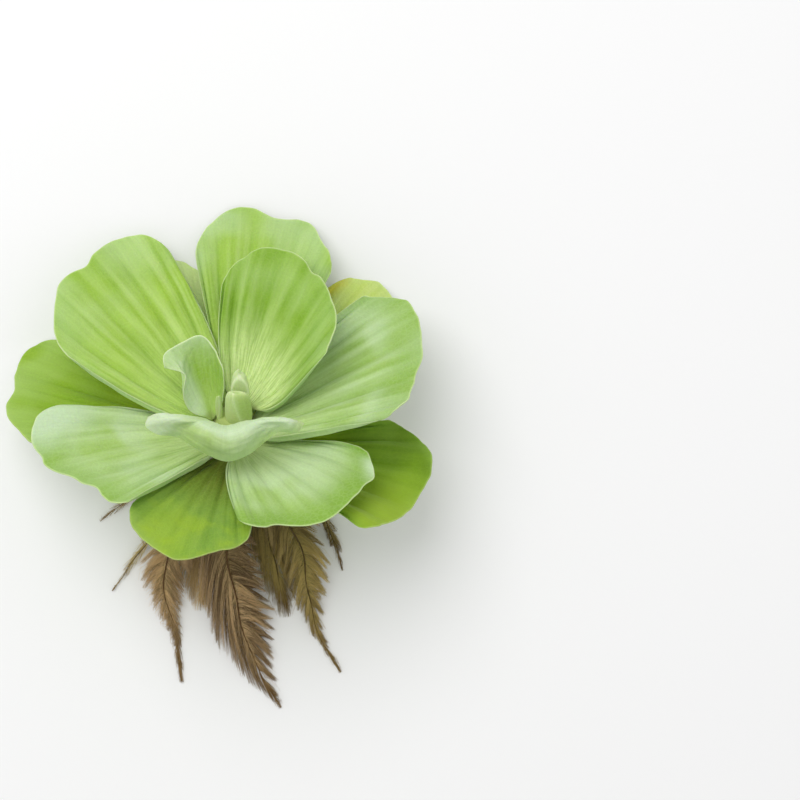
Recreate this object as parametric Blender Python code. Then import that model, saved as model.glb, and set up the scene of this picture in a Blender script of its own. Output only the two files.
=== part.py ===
"""Water lettuce, picked from the water and laid down on a surface at z = 0.

A rosette of fan-shaped, pleated leaves grows in a spiral round a short stem, with rolled
young leaves at its heart and feathery root plumes under it. The stem's axis leans towards
+Y, so the rosette lies tilted, its back leaves and its roots touching the surface.
Lengths are in millimetres and angles in degrees, until a mesh is made in metres.
"""

import math
from dataclasses import dataclass

import bmesh
import bpy
import numpy as np

MILLIMETRE = 0.001

# Driving dimensions
LEAN = 45.0                            # of the stem's axis from upright, towards +Y
CROWN = (4.3, 4.1, 19.2)               # where the lowest leaves leave the stem
LEAF_THICKNESS_AT_BASE = 2.2
LEAF_THICKNESS_AT_MARGIN = 0.8
THIN_SIDES = 0.5                       # share of the thickness that is left at a side edge
STEM_RADIUS = 5.8
STEM_PROFILE = ((0.60, -4.0), (0.88, -2.4), (1.0, 0.5), (1.0, 6.5), (0.85, 8.8), (0.64, 11.2))
STEM_SWELLING = 1.7                    # of the stem's back, towards the two highest leaves
SWELLING_HEIGHTS = (6.5, 8.8)          # where on the stem it starts and is full
SWELLING_AZIMUTH = 80.0

BUD_PROFILE = ((0.84, 0.0), (0.98, 0.15), (1.0, 0.35), (0.95, 0.66), (0.82, 0.9), (0.42, 1.0))

# How finely the faceted pieces are cut
COLUMNS_ACROSS_LEAF = 12
ROWS_ALONG_LEAF = (0.0, 0.08, 0.2, 0.35, 0.5, 0.65, 0.79, 0.9, 0.97, 1.0)
ROWS_ALONG_YOUNG_LEAF = (0.0, 0.12, 0.27, 0.42, 0.57, 0.72, 0.87, 1.0)
STEPS_ALONG_MIDRIB = 60
SIDES_OF_BUD = 12
SIDES_OF_PLUME = 8
SIDES_OF_STEM = 20

# Finishes: colour and roughness of each kind of piece
LEAF_GREEN = ((0.40, 0.60, 0.14), 0.65)
LEAF_PALE = ((0.52, 0.70, 0.32), 0.7)
LEAF_DEEP = ((0.24, 0.44, 0.04), 0.6)
BUD_GREEN = ((0.50, 0.66, 0.26), 0.7)
STEM_BROWN = ((0.16, 0.13, 0.05), 0.85)
ROOT_BROWN = ((0.16, 0.10, 0.045), 0.9)


@dataclass
class LeafForm:
    """One open leaf: where it leaves the stem, how it is held, and its outline.

    Pairs of values are for the leaf's right and left half, seen from its base.
    """

    name: str
    finish: tuple
    azimuth: float                     # direction round the stem, from +X towards the back
    pitch: float                       # rise above the rosette's plane at the base
    length: float
    fan: tuple                         # angle from the midrib to each side's last vein
    height: float                      # of the base, up the stem
    reach: tuple                       # outline: share of the length, right edge to left edge
    arch: float = -4.0                 # change of pitch from base to tip
    flare: tuple = (1.3, 1.3)          # fan angle at the base, as a share of the tip's
    half_base: float = 3.4
    from_axis: float = 6.6
    cup: tuple = (20.0, 20.0)          # how far the blade bends up at each side
    cup_at_tip: float = 0.3            # share of the cup that is left at the tip
    pleat: float = 0.35                # height of the ribs along the veins
    ruffle: float = 0.8                # height of the margin's waves
    waves: float = 2.5


LEAVES = (
    LeafForm("leaf_back_left_low", LEAF_GREEN, 108, 30.5, 52.5, (14, 16), 1.2,
             (0.69, 0.78, 0.86, 0.91, 1.00, 1.00, 0.92, 0.82, 0.69), cup=(15, 15), arch=-7,
             half_base=2.9),
    LeafForm("leaf_back_right_low", LEAF_GREEN, 46, 24, 56.9, (16, 14), 1.2,
             (0.69, 0.81, 0.92, 0.99, 1.03, 0.98, 0.92, 0.77, 0.63), cup=(15, 15), arch=-6),
    LeafForm("leaf_left_low", LEAF_DEEP, 164, 6, 63.4, (18, 25), 1.2,
             (0.76, 0.87, 0.97, 1.00, 0.96, 0.93, 0.84, 0.76, 0.66), cup=(20, 16)),
    LeafForm("leaf_front_low", LEAF_GREEN, 258, 12, 46.6, (28, 22), 1,
             (0.63, 0.76, 0.88, 0.94, 0.99, 0.92, 0.86, 0.78, 0.66)),
    LeafForm("leaf_right_low", LEAF_DEEP, 342, 2, 53.7, (27, 24), 1,
             (0.80, 0.87, 0.90, 0.93, 0.94, 0.95, 0.87, 0.76, 0.70), flare=(0.90, 1.14)),
    LeafForm("leaf_back", LEAF_GREEN, 79, 33, 65.1, (20, 21), 4.8,
             (0.73, 0.79, 0.86, 0.95, 0.94, 0.98, 0.92, 0.83, 0.71), flare=(1.0, 0.91),
             cup=(18, 14), arch=-8),
    LeafForm("leaf_left_front", LEAF_GREEN, 205, 10, 51.1, (27, 28), 5,
             (0.68, 0.82, 0.95, 0.96, 0.90, 0.78, 0.75, 0.72, 0.70), flare=(1.85, 1.09),
             half_base=4.6, cup=(22, 22)),
    LeafForm("leaf_front_right", LEAF_PALE, 305, 12, 45.1, (28, 34), 4,
             (0.70, 0.80, 0.85, 0.83, 0.94, 0.92, 0.91, 0.81, 0.69), flare=(1.85, 1.69),
             half_base=4.3, cup=(24, 19)),
    LeafForm("leaf_back_left", LEAF_GREEN, 135, 26, 60.9, (19, 29), 8.4,
             (0.65, 0.82, 0.94, 1.00, 0.97, 0.95, 0.84, 0.74, 0.65), flare=(1.85, 1.85),
             half_base=5.5, cup=(30, 8)),
    LeafForm("leaf_right", LEAF_GREEN, 9, 26, 55.7, (24, 27), 6.5,
             (0.72, 0.80, 0.87, 0.89, 0.96, 0.99, 0.99, 0.89, 0.82), flare=(1.85, 1.8),
             half_base=4.0, cup=(19, 26)),
    LeafForm("leaf_back_inner", LEAF_PALE, 60, 41, 45.3, (46, 26), 10.9,
             (0.68, 0.71, 0.78, 0.88, 0.99, 1.00, 0.90, 0.80, 0.71), flare=(1.85, 1.85),
             half_base=4.7, cup=(43, 30)),
)


@dataclass
class YoungLeaf:
    """A young leaf that is still folded, as a net of points that its blade runs through.

    Points are from the crown, in the lying plant's own directions: right, back and up.
    The rows run from base to margin, and each goes from the leaf's right edge to its left.
    """

    name: str
    finish: tuple
    net: tuple
    thickness: float = 0.6             # share of an open leaf's thickness


YOUNG_LEAVES = (
    YoungLeaf("young_leaf_folded", LEAF_PALE, (
        ((-4.3, 8.9, 7.9), (-4.6, 9.1, 7.1), (-5.1, 9.4, 6.5), (-5.7, 9.4, 6.3), (-6.3, 9, 6.7),
         (-6.8, 8.6, 7.6), (-7.2, 8.2, 8.9)),
        ((-2.4, 11.7, 10), (-3.4, 13.1, 8), (-4.6, 14.3, 7), (-6.3, 14.8, 6.5), (-8.5, 13.7, 7),
         (-10.3, 12, 9), (-11.2, 10.1, 12)),
        ((-1.8, 14.8, 12), (-3.2, 17.9, 9.5), (-5.1, 19.6, 8), (-7.4, 20.5, 7.5),
         (-10.7, 18.8, 8), (-12.4, 17.1, 11), (-12.8, 14.5, 15)),
        ((-1.4, 17.6, 13), (-3.1, 21.8, 11), (-5.2, 24.7, 9.5), (-8.1, 26.1, 9),
         (-12.2, 24.7, 10), (-13.9, 22.7, 13), (-12.3, 20.1, 15)),
        ((-1.5, 19.9, 13.5), (-3, 24.9, 12), (-5.4, 28.9, 11), (-8.8, 31.4, 10.5),
         (-14.3, 28.9, 11.5), (-18.3, 26, 13), (-18.3, 22.1, 13.5)),
    )),
    YoungLeaf("young_leaf_curled", LEAF_PALE, (
        ((-2.6, 4, 10.9), (-2.3, 3.6, 10.7), (-1.7, 3.3, 10.5), (-1.1, 3, 10.4),
         (-0.4, 2.9, 10.4), (0.3, 2.8, 10.4), (0.9, 2.8, 10.4), (1.5, 2.9, 10.5),
         (2.1, 3.1, 10.6), (2.7, 3.5, 10.7), (3.2, 3.9, 10.9)),
        ((-5.6, 7.8, 21), (-5, 7.5, 21.5), (-4.5, 7.2, 21.5), (-3.6, 6.8, 21.5),
         (-2.2, 6.1, 22), (0, 5.6, 22), (2.5, 6.2, 22), (4.4, 6.7, 21.5), (5.5, 6.9, 21.5),
         (6.6, 7.2, 21.5), (7.4, 7.5, 21)),
        ((-10.8, 8.9, 27), (-9.9, 8.2, 28), (-8.8, 7.5, 28.5), (-6.9, 6.9, 28),
         (-3.8, 5.6, 29.5), (0.3, 4.6, 29.5), (4.1, 5.5, 29.5), (7.3, 6.7, 28.5),
         (9.5, 7.3, 28), (11.7, 7.8, 28), (12.4, 8.6, 27)),
        ((-17.7, 9.6, 29.5), (-16.2, 8.1, 30.5), (-14.1, 6.9, 29.5), (-11.1, 5.6, 26.8),
         (-5.3, 3.2, 30.5), (0.3, 0.6, 30), (5.3, 2.3, 30.5), (9.5, 5.2, 28), (13, 6.6, 27.5),
         (16.9, 7, 30), (18, 8.1, 29)),
        ((-21.2, 8.6, 27.5), (-22, 6, 26.5), (-18.7, 3.8, 25.5), (-13.3, 2.8, 24),
         (-7, -0.9, 24.5), (-0.1, -3.8, 24), (5.7, -2, 24.5), (10.6, 1.7, 24.5),
         (14.8, 4.2, 25.5), (19.5, 4.2, 26), (21.5, 6.7, 27.5)),
    )),
)


@dataclass
class Bud:
    """A rolled young leaf, standing on the stem like a blunt cone."""

    name: str
    foot: tuple                        # of its axis, in the plant's frame
    top: tuple
    half_width: float
    half_depth: float


BUDS = (
    Bud("bud_front", (2.2, -1.4, 11.5), (2.2, -1.2, 22.8), 4.3, 2.3),
    Bud("bud_back", (2.6, 2.9, 11.5), (3.1, 3.2, 26.5), 2.8, 1.8),
    Bud("bud_left", (-3.1, 0.0, 11.5), (-3.1, -0.4, 20.5), 1.1, 0.85),
)


@dataclass
class Plume:
    """One root with its fringe of rootlets, as the flattened plume that it lies in."""

    name: str
    route: tuple                       # (x, y, z) from the crown's foot on the surface
    half_width: tuple                  # along the route
    half_height: tuple
    teeth: int = 8                     # tufts of rootlets along each side
    bite: float = 0.3                  # how deep the notches between tufts are
    slant: float = 2.5                 # how far each tuft leans towards the tip


PLUMES = (
    Plume("root_plume_middle",
          ((0, -3.5, 16), (-1.5, -15, 12.5), (-2.6, -28, 9.5), (-1, -41, 6.5),
           (1.5, -53, 3.2), (6, -66, 0.9), (12.7, -77.4, 0.6)),
          (0.9, 4.8, 9, 10.4, 10.2, 5.4, 0.6), (0.9, 2.2, 3, 3.2, 3, 2.2, 0.6), teeth=10),
    Plume("root_plume_left",
          ((-2.2, -3.4, 16), (-9, -14, 11.5), (-16, -25, 7.5), (-21, -35, 4),
           (-20.8, -45, 3.2), (-18.2, -56, 0.8), (-16.5, -70, 0.6)),
          (0.9, 4, 7.2, 7.8, 5.4, 1.7, 0.5), (0.9, 2, 2.8, 3, 2.6, 1.4, 0.5), teeth=9),
    Plume("root_plume_right",
          ((2.2, -3.4, 16), (9, -12, 12), (15, -22, 8.2), (19.5, -33, 5.1), (21, -44, 3),
           (23.5, -55, 0.9), (30.3, -67, 0.6)),
          (0.9, 4.2, 7.6, 8, 6, 2, 0.5), (0.9, 2, 2.8, 3, 2.8, 1.5, 0.5), teeth=9),
    Plume("root_plume_under_left",
          ((-1.2, -1.9, 15), (-4, -9, 8.5), (-8, -18, 4), (-10.2, -27, 1.6),
           (-10.9, -35, 1.2), (-11.1, -42, 0.9), (-11, -49, 0.5)),
          (0.9, 3, 5.2, 6.4, 6.4, 5, 1.5), (0.9, 1.5, 1.8, 1.6, 1.2, 0.9, 0.5), teeth=7),
    Plume("root_plume_under_right",
          ((1.2, -1.9, 15), (4, -9, 8.5), (7.2, -18, 4), (9.4, -28, 1.4), (11.2, -36, 1),
           (13, -43, 0.8), (14, -51, 0.5)),
          (0.9, 2.8, 4.6, 5.6, 5.6, 4.6, 1.4), (0.9, 1.5, 1.8, 1.4, 1, 0.8, 0.5), teeth=7),
    Plume("root_side_left",
          ((-4.1, -2.4, 15.9), (-12, -10, 10), (-20, -19, 5), (-27, -29, 2), (-33, -37.5, 1),
           (-37, -43, 0.5)),
          (0.8, 1.2, 1.6, 1.8, 1.2, 0.5), (0.8, 0.9, 1, 1, 0.8, 0.5), teeth=5, slant=1.5),
    Plume("root_side_right",
          ((4.1, -2.4, 15.9), (13, -8, 10), (21, -15, 5), (26, -23, 2), (29, -30, 1),
           (30.8, -37, 0.5)),
          (0.8, 1.2, 2, 2.4, 1.6, 0.5), (0.8, 0.9, 1, 1, 0.8, 0.5), teeth=5, slant=1.5),
    Plume("root_side_far_left",
          ((-3.5, -0.4, 14.7), (-12, -4, 8), (-20, -8, 4), (-28, -13, 1.8), (-35, -18, 1),
           (-40.5, -22.5, 0.5)),
          (0.8, 1.6, 2.6, 2.4, 1.6, 0.5), (0.8, 0.9, 1, 1, 0.8, 0.5), teeth=5, slant=1.5),
)


def smooth(x, low, high):
    """Rise from 0 at low to 1 at high, level at both ends."""
    t = np.clip((x - low) / (high - low), 0.0, 1.0)
    return t * t * (3.0 - 2.0 * t)


def curve_through(values, share):
    """Smooth curve through evenly spaced values, read at a share of its length from 0 to 1."""
    knots = np.asarray(values, dtype=float)
    before = 2.0 * knots[:1] - knots[1:2]
    after = 2.0 * knots[-1:] - knots[-2:-1]
    knots = np.concatenate([before, knots, after])
    last = len(values) - 1
    place = np.clip(np.asarray(share, dtype=float) * last, 0.0, last)
    i = np.minimum(place.astype(int), last - 1)
    t = place - i
    t = t.reshape(t.shape + (1,) * (knots.ndim - 1))
    a, b, c, d = knots[i], knots[i + 1], knots[i + 2], knots[i + 3]
    even = 2.0 * a - 5.0 * b + 4.0 * c - d
    odd = 3.0 * b - a - 3.0 * c + d
    return 0.5 * (2.0 * b + (c - a) * t + even * t**2 + odd * t**3)


def blend(pair, side):
    """Go from the right half's value at side -1 to the left half's at side 1."""
    return 0.5 * (pair[0] + pair[1]) + 0.5 * (pair[1] - pair[0]) * side


def to_world(points):
    """Turn points from the plant's frame, stem along +Z, to where the plant lies."""
    lean = math.radians(LEAN)
    x, y, z = points[..., 0], points[..., 1], points[..., 2]
    back = math.cos(lean) * y + math.sin(lean) * z
    up = math.cos(lean) * z - math.sin(lean) * y
    return np.stack([x, back, up], axis=-1) + np.array(CROWN)


def midrib(form):
    """The leaf's centre line with the directions across it and out of its face."""
    s = np.linspace(0.0, 1.15, STEPS_ALONG_MIDRIB)
    yaw = math.radians(form.azimuth)
    pitch = np.radians(form.pitch + form.arch * s**1.5)
    outward = np.array([math.cos(yaw), math.sin(yaw), 0.0])
    sideways = np.array([-math.sin(yaw), math.cos(yaw), 0.0])
    up = np.array([0.0, 0.0, 1.0])
    along = np.cos(pitch)[:, None] * outward + np.sin(pitch)[:, None] * up
    face = np.cos(pitch)[:, None] * up - np.sin(pitch)[:, None] * outward
    across = np.broadcast_to(sideways, face.shape)
    stride = (s[1] - s[0]) * form.length
    steps = 0.5 * (along[1:] + along[:-1]) * stride
    centre = np.concatenate([np.zeros((1, 3)), np.cumsum(steps, axis=0)])
    centre = centre + form.from_axis * outward + form.height * up
    return s, centre, across, face


def leaf_sheet(form, w, v):
    """Middle surface of a leaf at w across (-1 right, 1 left) and v along (0 base, 1 margin).

    In the flat, each vein runs out from the base at its share of the fan angle, as far as
    the outline's reach there. The flat fan is then laid along the bent midrib, curved up
    into a cup across it, ribbed along the veins and waved at the margin.
    """
    w, v = np.broadcast_arrays(w, v)
    bend = np.sin(0.5 * math.pi * w)
    reach = curve_through(form.reach, 0.5 * (w + 1.0))
    fan = np.radians(blend(form.fan, bend))
    flare = blend(form.flare, bend)
    angle = fan * bend * (flare + (1.0 - flare) * np.sqrt(v))
    out = form.length * reach * v
    x = form.half_base * bend + out * np.sin(angle)
    y = out * np.cos(angle)

    mean_fan = math.radians(0.5 * (form.fan[0] + form.fan[1]))
    half_width = form.half_base + 0.8 * form.length * math.sin(mean_fan)
    left_over = 1.0 + (form.cup_at_tip - 1.0) * np.clip(y / form.length, 0.0, 1.0)
    cup = np.where(x > 0.0, form.cup[1], form.cup[0]) * left_over
    curvature = np.radians(cup) * 2.0 / half_width + 1e-6
    sideways = np.sin(curvature * x) / curvature
    lift = (1.0 - np.cos(curvature * x)) / curvature
    ribs = smooth(v, 0.03, 0.3) * (1.0 - 0.75 * smooth(v, 0.75, 1.0))
    lift = lift + form.pleat * ribs * np.cos(0.5 * math.pi * COLUMNS_ACROSS_LEAF * w)
    wave = np.sin(form.waves * math.pi * w)
    lift = lift + form.ruffle * smooth(v, 0.45, 1.0) ** 1.5 * wave

    s, centre, across, face = midrib(form)
    place = np.clip(y / form.length, 0.0, s[-1]).ravel()
    parts = [np.stack([np.interp(place, s, line[:, k]) for k in range(3)], axis=-1)
             for line in (centre, across, face)]
    centre, across, face = [part.reshape(w.shape + (3,)) for part in parts]
    return centre + across * sideways[..., None] + face * lift[..., None]


def principled(name, colour, roughness):
    """One plain material of a piece's colour."""
    material = bpy.data.materials.new(name)
    material.use_nodes = True
    shader = material.node_tree.nodes["Principled BSDF"]
    shader.inputs["Base Color"].default_value = (*colour, 1.0)
    shader.inputs["Roughness"].default_value = roughness
    shader.inputs["Metallic"].default_value = 0.0
    return material


def add_object(name, mesh, finish):
    """Put a mesh in the scene under a piece's name, with its own material."""
    colour, roughness = finish
    mesh.materials.append(principled(name + "_finish", colour, roughness))
    piece = bpy.data.objects.new(name, mesh)
    bpy.context.scene.collection.objects.link(piece)
    return piece


def grid_faces(rows, columns, closed=False):
    """Four-sided faces between the points of a grid, wrapped round if it is closed."""
    quads = []
    for i in range(rows - 1):
        for j in range(columns if closed else columns - 1):
            k = (j + 1) % columns
            quads.append((i * columns + j, i * columns + k,
                          (i + 1) * columns + k, (i + 1) * columns + j))
    return quads


def net_surface(net, across, along):
    """Smooth surface through a net of points, read on a grid of shares."""
    rows = np.stack([curve_through(row, across) for row in net])
    return curve_through(rows, along)


def add_blade(name, points, rows, finish, fleshiness):
    """A leaf from the grid of its middle surface, thick at its base and thin at its margin."""
    columns = points.shape[1]
    mesh = bpy.data.meshes.new(name)
    corners = points.reshape(-1, 3) * MILLIMETRE
    mesh.from_pydata(corners.tolist(), [], grid_faces(len(rows), columns))
    leaf = add_object(name, mesh, finish)
    thickness = leaf.vertex_groups.new(name="thickness")
    thin = LEAF_THICKNESS_AT_MARGIN / LEAF_THICKNESS_AT_BASE
    for row, share in enumerate(rows):
        amount = thin + (1.0 - thin) * (1.0 - share) ** 1.5 * fleshiness
        first = row * columns
        last = first + columns - 1
        thickness.add(list(range(first + 1, last)), amount, "REPLACE")
        thickness.add([first, last], max(thin, THIN_SIDES * amount), "REPLACE")
    solid = leaf.modifiers.new("thickness", "SOLIDIFY")
    solid.thickness = LEAF_THICKNESS_AT_BASE * MILLIMETRE
    solid.offset = 0.0
    solid.vertex_group = thickness.name


def add_leaf(form):
    """An open leaf."""
    w = np.linspace(-1.0, 1.0, COLUMNS_ACROSS_LEAF + 1)[None, :]
    v = np.array(ROWS_ALONG_LEAF)[:, None]
    add_blade(form.name, to_world(leaf_sheet(form, w, v)), ROWS_ALONG_LEAF, form.finish, 1.0)


def add_young_leaf(leaf):
    """A folded young leaf, laid through its net."""
    across = np.linspace(0.0, 1.0, 2 * len(leaf.net[0]) - 1)
    points = net_surface(leaf.net, across, np.array(ROWS_ALONG_YOUNG_LEAF)) + np.array(CROWN)
    add_blade(leaf.name, points, ROWS_ALONG_YOUNG_LEAF, leaf.finish, leaf.thickness)


def add_turned(name, rings, finish):
    """A closed solid from rings of points, one above the other."""
    sides = rings.shape[1]
    points = rings.reshape(-1, 3) * MILLIMETRE
    faces = grid_faces(len(rings), sides, closed=True)
    faces.append(tuple(reversed(range(sides))))
    faces.append(tuple(range(len(points) - sides, len(points))))
    mesh = bpy.data.meshes.new(name)
    mesh.from_pydata(points.tolist(), [], faces)
    return add_object(name, mesh, finish)


def add_bud(bud):
    """A rolled leaf: ovals that follow the profile along its axis."""
    turn = np.linspace(0.0, 2.0 * math.pi, SIDES_OF_BUD, endpoint=False)
    foot, top = np.array(bud.foot), np.array(bud.top)
    rings = []
    for share, along in BUD_PROFILE:
        oval = np.stack([share * bud.half_width * np.cos(turn),
                         share * bud.half_depth * np.sin(turn),
                         np.zeros_like(turn)], axis=-1)
        rings.append(foot + (top - foot) * along + oval)
    return add_turned(bud.name, to_world(np.stack(rings)), BUD_GREEN)


def add_stem():
    """The short stem: a rounded cone about its own axis, swollen at the back, laid over."""
    rings = []
    turn = np.linspace(0.0, 2.0 * math.pi, SIDES_OF_STEM, endpoint=False)
    behind = np.clip(np.cos(turn - math.radians(SWELLING_AZIMUTH)), 0.0, 1.0)
    for share, height in STEM_PROFILE:
        swelling = STEM_SWELLING * smooth(height, *SWELLING_HEIGHTS) * behind
        radius = share * STEM_RADIUS + swelling
        rings.append(np.stack([radius * np.cos(turn), radius * np.sin(turn),
                               np.full_like(turn, height)], axis=-1))
    return add_turned("stem", to_world(np.stack(rings)), STEM_BROWN)


def add_plume(plume):
    """A root plume: rings along its route, wide at each tuft and narrow between them.

    Each ring is an ellipse square to the route. The wide rings' sides lean towards the
    tip, and everything that would reach below the surface is laid flat on it.
    """
    rings = 2 * plume.teeth + 2
    share = np.linspace(0.0, 1.0, rings)
    centre = curve_through(plume.route, share)
    ahead = np.gradient(centre, axis=0)
    ahead /= np.linalg.norm(ahead, axis=1, keepdims=True)
    side = np.cross(ahead, np.array([0.0, 0.0, 1.0]))
    side /= np.linalg.norm(side, axis=1, keepdims=True)
    above = np.cross(side, ahead)
    width = curve_through(plume.half_width, share)
    height = curve_through(plume.half_height, share)
    tuft = np.arange(rings) % 2 == 0
    width = width * np.where(tuft, 1.0, 1.0 - plume.bite)
    turn = np.linspace(0.0, 2.0 * math.pi, SIDES_OF_PLUME, endpoint=False)
    lean = np.where(tuft, plume.slant, 0.0) * np.sin(math.pi * share)
    points = (centre[:, None] + side[:, None] * (width[:, None] * np.cos(turn))[..., None]
              + above[:, None] * (height[:, None] * np.sin(turn))[..., None]
              + ahead[:, None] * (lean[:, None] * np.cos(turn) ** 2)[..., None])
    points[..., 2] = np.maximum(points[..., 2], 0.0)
    points[..., :2] += np.array(CROWN)[:2]
    return add_turned(plume.name, points, ROOT_BROWN)


def face_outwards(piece):
    """Turn a closed mesh's faces to point out."""
    work = bmesh.new()
    work.from_mesh(piece.data)
    bmesh.ops.recalc_face_normals(work, faces=work.faces)
    work.to_mesh(piece.data)
    work.free()


def main():
    """Clear the scene and build every piece of the plant."""
    for old in list(bpy.data.objects):
        bpy.data.objects.remove(old, do_unlink=True)
    face_outwards(add_stem())
    for form in LEAVES:
        add_leaf(form)
    for leaf in YOUNG_LEAVES:
        add_young_leaf(leaf)
    for bud in BUDS:
        face_outwards(add_bud(bud))
    for plume in PLUMES:
        face_outwards(add_plume(plume))


main()
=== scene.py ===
"""Water lettuce, picked from the water and laid down on a pale surface.

A rosette of fan-shaped, velvety leaves grows in a spiral round a short stem, with rolled
young leaves at its heart and feathery root plumes under it. Forms are worked out in
millimetres in the plant's own frame, stem along +Z, and turned to where the plant lies
when a mesh is made in metres.
"""

import logging
import math
from dataclasses import asdict, dataclass, field, replace
from enum import Enum
from functools import partial, reduce

import bpy
import numpy as np
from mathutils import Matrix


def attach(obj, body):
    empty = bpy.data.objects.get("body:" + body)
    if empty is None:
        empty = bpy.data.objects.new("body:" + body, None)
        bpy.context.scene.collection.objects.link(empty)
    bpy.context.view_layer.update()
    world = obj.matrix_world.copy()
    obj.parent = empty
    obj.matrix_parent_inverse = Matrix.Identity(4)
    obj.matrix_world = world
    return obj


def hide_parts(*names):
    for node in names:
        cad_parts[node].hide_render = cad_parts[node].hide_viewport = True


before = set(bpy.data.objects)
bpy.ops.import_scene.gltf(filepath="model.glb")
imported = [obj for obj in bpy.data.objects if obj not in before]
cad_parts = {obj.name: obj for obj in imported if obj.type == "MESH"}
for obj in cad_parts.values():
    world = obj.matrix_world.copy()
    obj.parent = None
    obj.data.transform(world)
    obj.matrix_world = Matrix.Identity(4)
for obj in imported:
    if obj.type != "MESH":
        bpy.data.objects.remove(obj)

LOG = logging.getLogger("water_lettuce")
MILLIMETRE = 0.001
BODY = "root"
BAKE_MAP = "OFBake"
Colour = tuple[float, float, float]
Socket = bpy.types.NodeSocket
Term = float | Socket                  # what an input of a node takes
Material = bpy.types.Material

LEAN = 45.0                            # of the stem's axis from upright, towards +Y
CROWN = (4.3, 4.1, 19.2)               # where the lowest leaves leave the stem
STEM_RADIUS = 5.8
STEM_SWELLING = 1.7                    # of the stem's back, towards the two highest leaves
SWELLING_AZIMUTH = 80.0

VEIN_VALUES = ("across", "along", "groove", "crest", "margin", "brim", "under", "rib")
SOCKET_KINDS = {1: "Float", 2: "Vector", 3: "Color"}     # by how many numbers a value has
CLOUD_SCALE, PATCH_SCALE, MOTTLE_SCALE = 60.0, 70.0, 110.0           # per metre
NET_SCALE, SPECKLE_SCALE, PORE_SCALE = 700.0, 1500.0, 4200.0


class Slot(Enum):
    """The record's material slots."""

    LEAF_GREEN = "leaf_green"
    LEAF_PALE = "leaf_pale"
    LEAF_DEEP = "leaf_deep"
    BUD = "bud"
    STEM = "stem"
    ROOT = "root"


def smooth(x: np.ndarray, low: float, high: float) -> np.ndarray:
    """Rise from 0 at low to 1 at high, level at both ends."""
    t = np.clip((x - low) / (high - low), 0.0, 1.0)
    return t * t * (3.0 - 2.0 * t)


def bump_at(x: np.ndarray, centre: float | np.ndarray, width: float | np.ndarray) -> np.ndarray:
    """A bell of height 1 round a centre: e to the minus squared distance over width."""
    return np.exp(-(((x - centre) / width) ** 2))


def curve_through(values: tuple, share: np.ndarray) -> np.ndarray:
    """Smooth curve through evenly spaced values, read at shares of its length.

    Each stretch is the cubic of Catmull and Rom on the four values round it.

    Args:
        values: numbers or points, evenly spaced along the curve.
        share: places from 0 to 1.

    Returns:
        The curve's value at each place.
    """
    knots = np.asarray(values, dtype=float)
    before = 2.0 * knots[:1] - knots[1:2]
    after = 2.0 * knots[-1:] - knots[-2:-1]
    knots = np.concatenate([before, knots, after])
    last = len(values) - 1
    place = np.clip(np.asarray(share, dtype=float) * last, 0.0, last)
    i = np.minimum(place.astype(int), last - 1)
    t = place - i
    t = t.reshape(t.shape + (1,) * (knots.ndim - 1))
    a, b, c, d = knots[i], knots[i + 1], knots[i + 2], knots[i + 3]
    even = 2.0 * a - 5.0 * b + 4.0 * c - d
    odd = 3.0 * b - a - 3.0 * c + d
    return 0.5 * (2.0 * b + (c - a) * t + even * t**2 + odd * t**3)


def swell(x: np.ndarray, y: np.ndarray, size: float, rng: np.random.Generator) -> np.ndarray:
    """Soft random swelling of a surface: six sine waves in random directions.

    Each wave is a little shorter and lower than the one before it.

    Args:
        x, y: places on the surface, in millimetres.
        size: length of the longest wave, in millimetres.
        rng: source of the waves' directions and starts.

    Returns:
        Heights from about -1 to 1.
    """
    total = np.zeros(np.broadcast(x, y).shape)
    for k in range(6):
        turn, start = rng.uniform(0.0, 2.0 * math.pi, 2)
        length = size / (1.0 + 0.35 * k)
        run = math.cos(turn) * x + math.sin(turn) * y
        total += np.sin(2.0 * math.pi * run / length + start) / (1.0 + 0.5 * k)
    return total / 2.2


def to_world(points: np.ndarray) -> np.ndarray:
    """Turn points about the crown from the plant's upright frame to where it lies.

    Args:
        points: in the plant's frame, in millimetres.

    Returns:
        The points as they lie, in metres.
    """
    lean = math.radians(LEAN)
    x, y, z = points[..., 0], points[..., 1], points[..., 2]
    back = math.cos(lean) * y + math.sin(lean) * z
    up = math.cos(lean) * z - math.sin(lean) * y
    return (np.stack([x, back, up], axis=-1) + np.array(CROWN)) * MILLIMETRE


def from_world(points: np.ndarray) -> np.ndarray:
    """Turn points of the lying plant back to the plant's upright frame.

    Args:
        points: right, back and up from the crown, in millimetres.

    Returns:
        The points in the plant's frame, in millimetres.
    """
    lean = math.radians(LEAN)
    x, back, up = points[..., 0], points[..., 1], points[..., 2]
    y = math.cos(lean) * back - math.sin(lean) * up
    z = math.sin(lean) * back + math.cos(lean) * up
    return np.stack([x, y, z], axis=-1)


def blend(pair: tuple, side: np.ndarray) -> np.ndarray:
    """Go from the right half's value at side -1 to the left half's at side 1."""
    return 0.5 * (pair[0] + pair[1]) + 0.5 * (pair[1] - pair[0]) * side


def random_for(name: str) -> np.random.Generator:
    """A source of random numbers that is always the same for a piece's name."""
    return np.random.default_rng(list(name.encode()))


def unit(vectors: np.ndarray) -> np.ndarray:
    """Vectors scaled to length 1."""
    return vectors / (np.linalg.norm(vectors, axis=-1, keepdims=True) + 1e-12)


def grid_quads(rows: int, columns: int, closed: bool = False) -> np.ndarray:
    """Four-sided faces between the points of a grid.

    Args:
        rows, columns: how many points the grid has each way.
        closed: whether its last column joins its first.

    Returns:
        The four points' numbers for each face.
    """
    i = np.arange(rows - 1)[:, None]
    j = np.arange(columns if closed else columns - 1)[None, :]
    k = (j + 1) % columns
    quads = np.stack([i * columns + j, i * columns + k,
                      (i + 1) * columns + k, (i + 1) * columns + j], axis=-1)
    return quads.reshape(-1, 4)


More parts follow.
